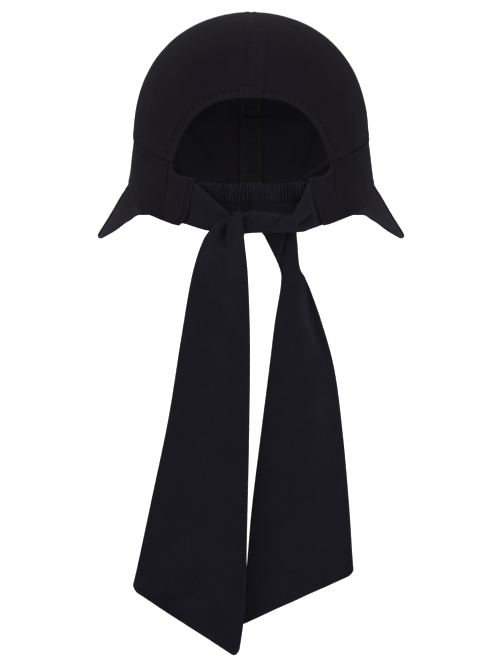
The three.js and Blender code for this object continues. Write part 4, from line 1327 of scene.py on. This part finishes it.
# Folds run between two places, counted in rows: the share across at each end, how far it bows from that
# line, how late it leaves its start, the height, the half widths towards the first and the second edge, the
# painted tone (a painted highlight on ridges, painted shade in creases), and the share of its run at which
# it is fullest, where that isn't the middle
foldColumns = ("start", "end", "from", "to", "bow", "late", "height", "widths", "tone", "full")
rightFolds = [
    (1.0, 3.8, 0.52, 0.46, 0, 1, 1.9, (2.2, 1.8), 0.55),
    (1.15, 3.7, 0.70, 0.62, 0, 1, -1.8, (2.0, 2.4), -0.65),
    (1.0, 3.4, 0.93, 0.84, 0, 1, 1.2, (2.0, 1.6), 0.35),
    (4.8, 5.8, 0.0, 0.75, 0, 1, -1.5, (1.5, 0.8), -0.4),
    (4.9, 6.9, 0.4, 0.3, 0, 1, 0.8, (2.4, 2.4), 0.1),
    (6.5, 7.3, 0.0, 0.7, 0, 1, -2.0, (0.9, 1.5), -0.8),
    (14.7, 17.2, 0.28, 0.55, 0, 0.55, -4.8, (5.2, 0.8), -0.5, 0.68),
    (14.4, 18.5, 0.9, 0.76, 0, 1, 1.2, (3.4, 4.0), 0.2),
    (15.0, 18.0, 0.16, 0.2, 0, 1, 1.5, (4.0, 5.0), 0.2),
    (17.0, 22.0, 0.62, 0.5, 0, 1, 0.8, (9.0, 9.0), 0.1),
    (21.9, 22.9, 0.6, 0.19, 0, 1, -0.8, (2.0, 2.0), -0.3),
]
leftFolds = [
    (1.3, 4.0, 0.5, 0.35, 0, 1, -0.4, (2.6, 2.6), -0.05),
    (1.8, 4.4, 0.78, 0.7, 0, 1, 0.5, (2.2, 2.2), 0.1),
    (8.1, 10.15, 0.22, 1.02, 0, 2.2, -1.8, (0.8, 2.2), -0.3),
    (10.05, 12.85, 0.0, 0.08, 0.25, 1.4, 1.2, (0.9, 3.6), 1.0),
    (10.2, 12.85, 0.0, 0.03, 0.13, 1.4, -2.0, (3.4, 2.4), -0.9),
    (11.2, 15.8, 0.24, 0.3, 0, 1, 1.2, (8.0, 8.0), 0.25),
    (11.6, 15.6, 0.66, 0.6, 0, 1, -1.5, (7.0, 7.0), -0.1),
    (15.5, 16.2, 0.82, 0.46, 0, 1, -0.9, (2.0, 2.0), -0.35),
]


def tieSection(rows, place, key):
    keys = np.arange(len(rows))
    values = np.array([row[key] for row in rows], float)
    if values.ndim == 1:
        return smoothThrough(keys, values, place)
    return np.stack([smoothThrough(keys, values[:, axis], place) for axis in range(3)], axis=-1)


def foldRelief(folds, place, u, width):  # painted highlights on ridges, painted shade in creases
    relief, tone = 0 * u, 0 * u
    for fold in folds:
        t = np.clip((place - fold["start"]) / (fold["end"] - fold["start"]), 0, 1)
        skew = math.log(0.5) / math.log(fold.get("full", 0.5))
        window = np.sin(np.pi * t ** skew).clip(0) ** 0.6
        gone = t ** fold["late"]
        centre = lerp(fold["from"], fold["to"], gone) + fold["bow"] * 4 * gone * (1 - gone)
        distance = (u - centre[:, None]) * width[:, None]
        crest = window[:, None] * ridge(distance, np.where(distance < 0, *fold["widths"]))
        relief = relief + fold["height"] * crest
        tone = tone + fold["tone"] * crest
    return relief, tone


def makeTie(name, rows, folds, front, tones):
    sizes = tieSizes
    rows, folds = named(tieColumns, rows), named(foldColumns, folds)
    dense = np.linspace(0, len(rows) - 1, sizes["dense"])
    length = alongRows((tieSection(rows, dense, "first") + tieSection(rows, dense, "second")) / 2)
    total = length[-1]
    marks = gradedShares(total, sizes["edgeStep"], sizes["step"]) * total
    place = np.interp(marks, length, dense)
    first, second, thick, cup = (tieSection(rows, place, key) for key in tieColumns[1:])
    shares = gradedShares(sizes["usualWidth"], sizes["edgeStep"], sizes["stepAcross"])
    width = np.linalg.norm(second - first, axis=-1)
    endFar, radius = total - marks, sizes["cornerRadius"]
    near = np.clip(radius - endFar, 0, radius)
    trim = ((radius - np.sqrt(radius ** 2 - near ** 2)) / width)[:, None]  # rounds the hem's two corners
    u = lerp(trim, 1 - trim, shares)
    middle = first[:, None] + (second - first)[:, None] * u[..., None]
    normals = -gridNormals(middle) * front  # towards the viewer
    offset = front * cup[:, None] * 4 * u * (1 - u)
    sideFar = np.minimum(u, 1 - u) * width[:, None]
    # The folds' tone is painted: highlights on ridges, shade in creases
    relief, toneShift = foldRelief(folds, place, u, width)
    # Painted highlight across the tie just below the tab's end
    toneShift = toneShift + raised(place, tones["root"], 0.35, 1.1)[:, None]
    offset = offset + relief
    hang = smoothStep(-10, -60, middle[..., 2])
    offset = offset + hang * swells(middle, sizes["sway"]) + swells(middle, sizes["crumple"])
    wave = np.sin(2 * np.pi * marks / sizes["puckerPitch"])[:, None] * swells(middle, sizes["uneven"])
    offset = offset + wave * raised(sideFar, *sizes["edgePucker"])
    shape = walls(middle, normals, offset)[0]
    facing, across, along = measured(shape)
    edge = np.minimum(sideFar, np.minimum(marks, endFar)[:, None])
    half = roundedHalf(edge, np.minimum(thick, width * 0.5)[:, None])
    half = half * (1 - 0.12 * smoothStep(2.0, 6.0, sideFar))  # the turned edges are a little fuller
    # Edges lighter as rubbed wear and a painted highlight; the hanging part shifted in tone, and darker
    # towards the hem as painted shade
    wearAndPaintedLight = fading(edge, *sizes["edgeWearAndHighlight"]) + toneShift + tones["tail"] * hang
    wearAndPaintedLight = wearAndPaintedLight + tones["hem"] * smoothStep(-30, -250, middle[..., 2])
    piece = makeShell(name + "_cloth", *walls(shape, facing, half, -half),
                      (across - across[:, -1:] / 2, along), wearAndPaintedLight, "tieCloth", name)


# Tones: root is a painted highlight below the tab, tail shifts the hanging part, hem is painted shade
# towards the bottom
makeTie("tie_right", rightTieRows, rightFolds, front=1,
        tones={"root": 0.8, "tail": -0.12, "hem": -0.34})
makeTie("tie_left", leftTieRows, leftFolds, front=-1,
        tones={"root": 0.2, "tail": 0.08, "hem": -0.36})
print("ties knotted")
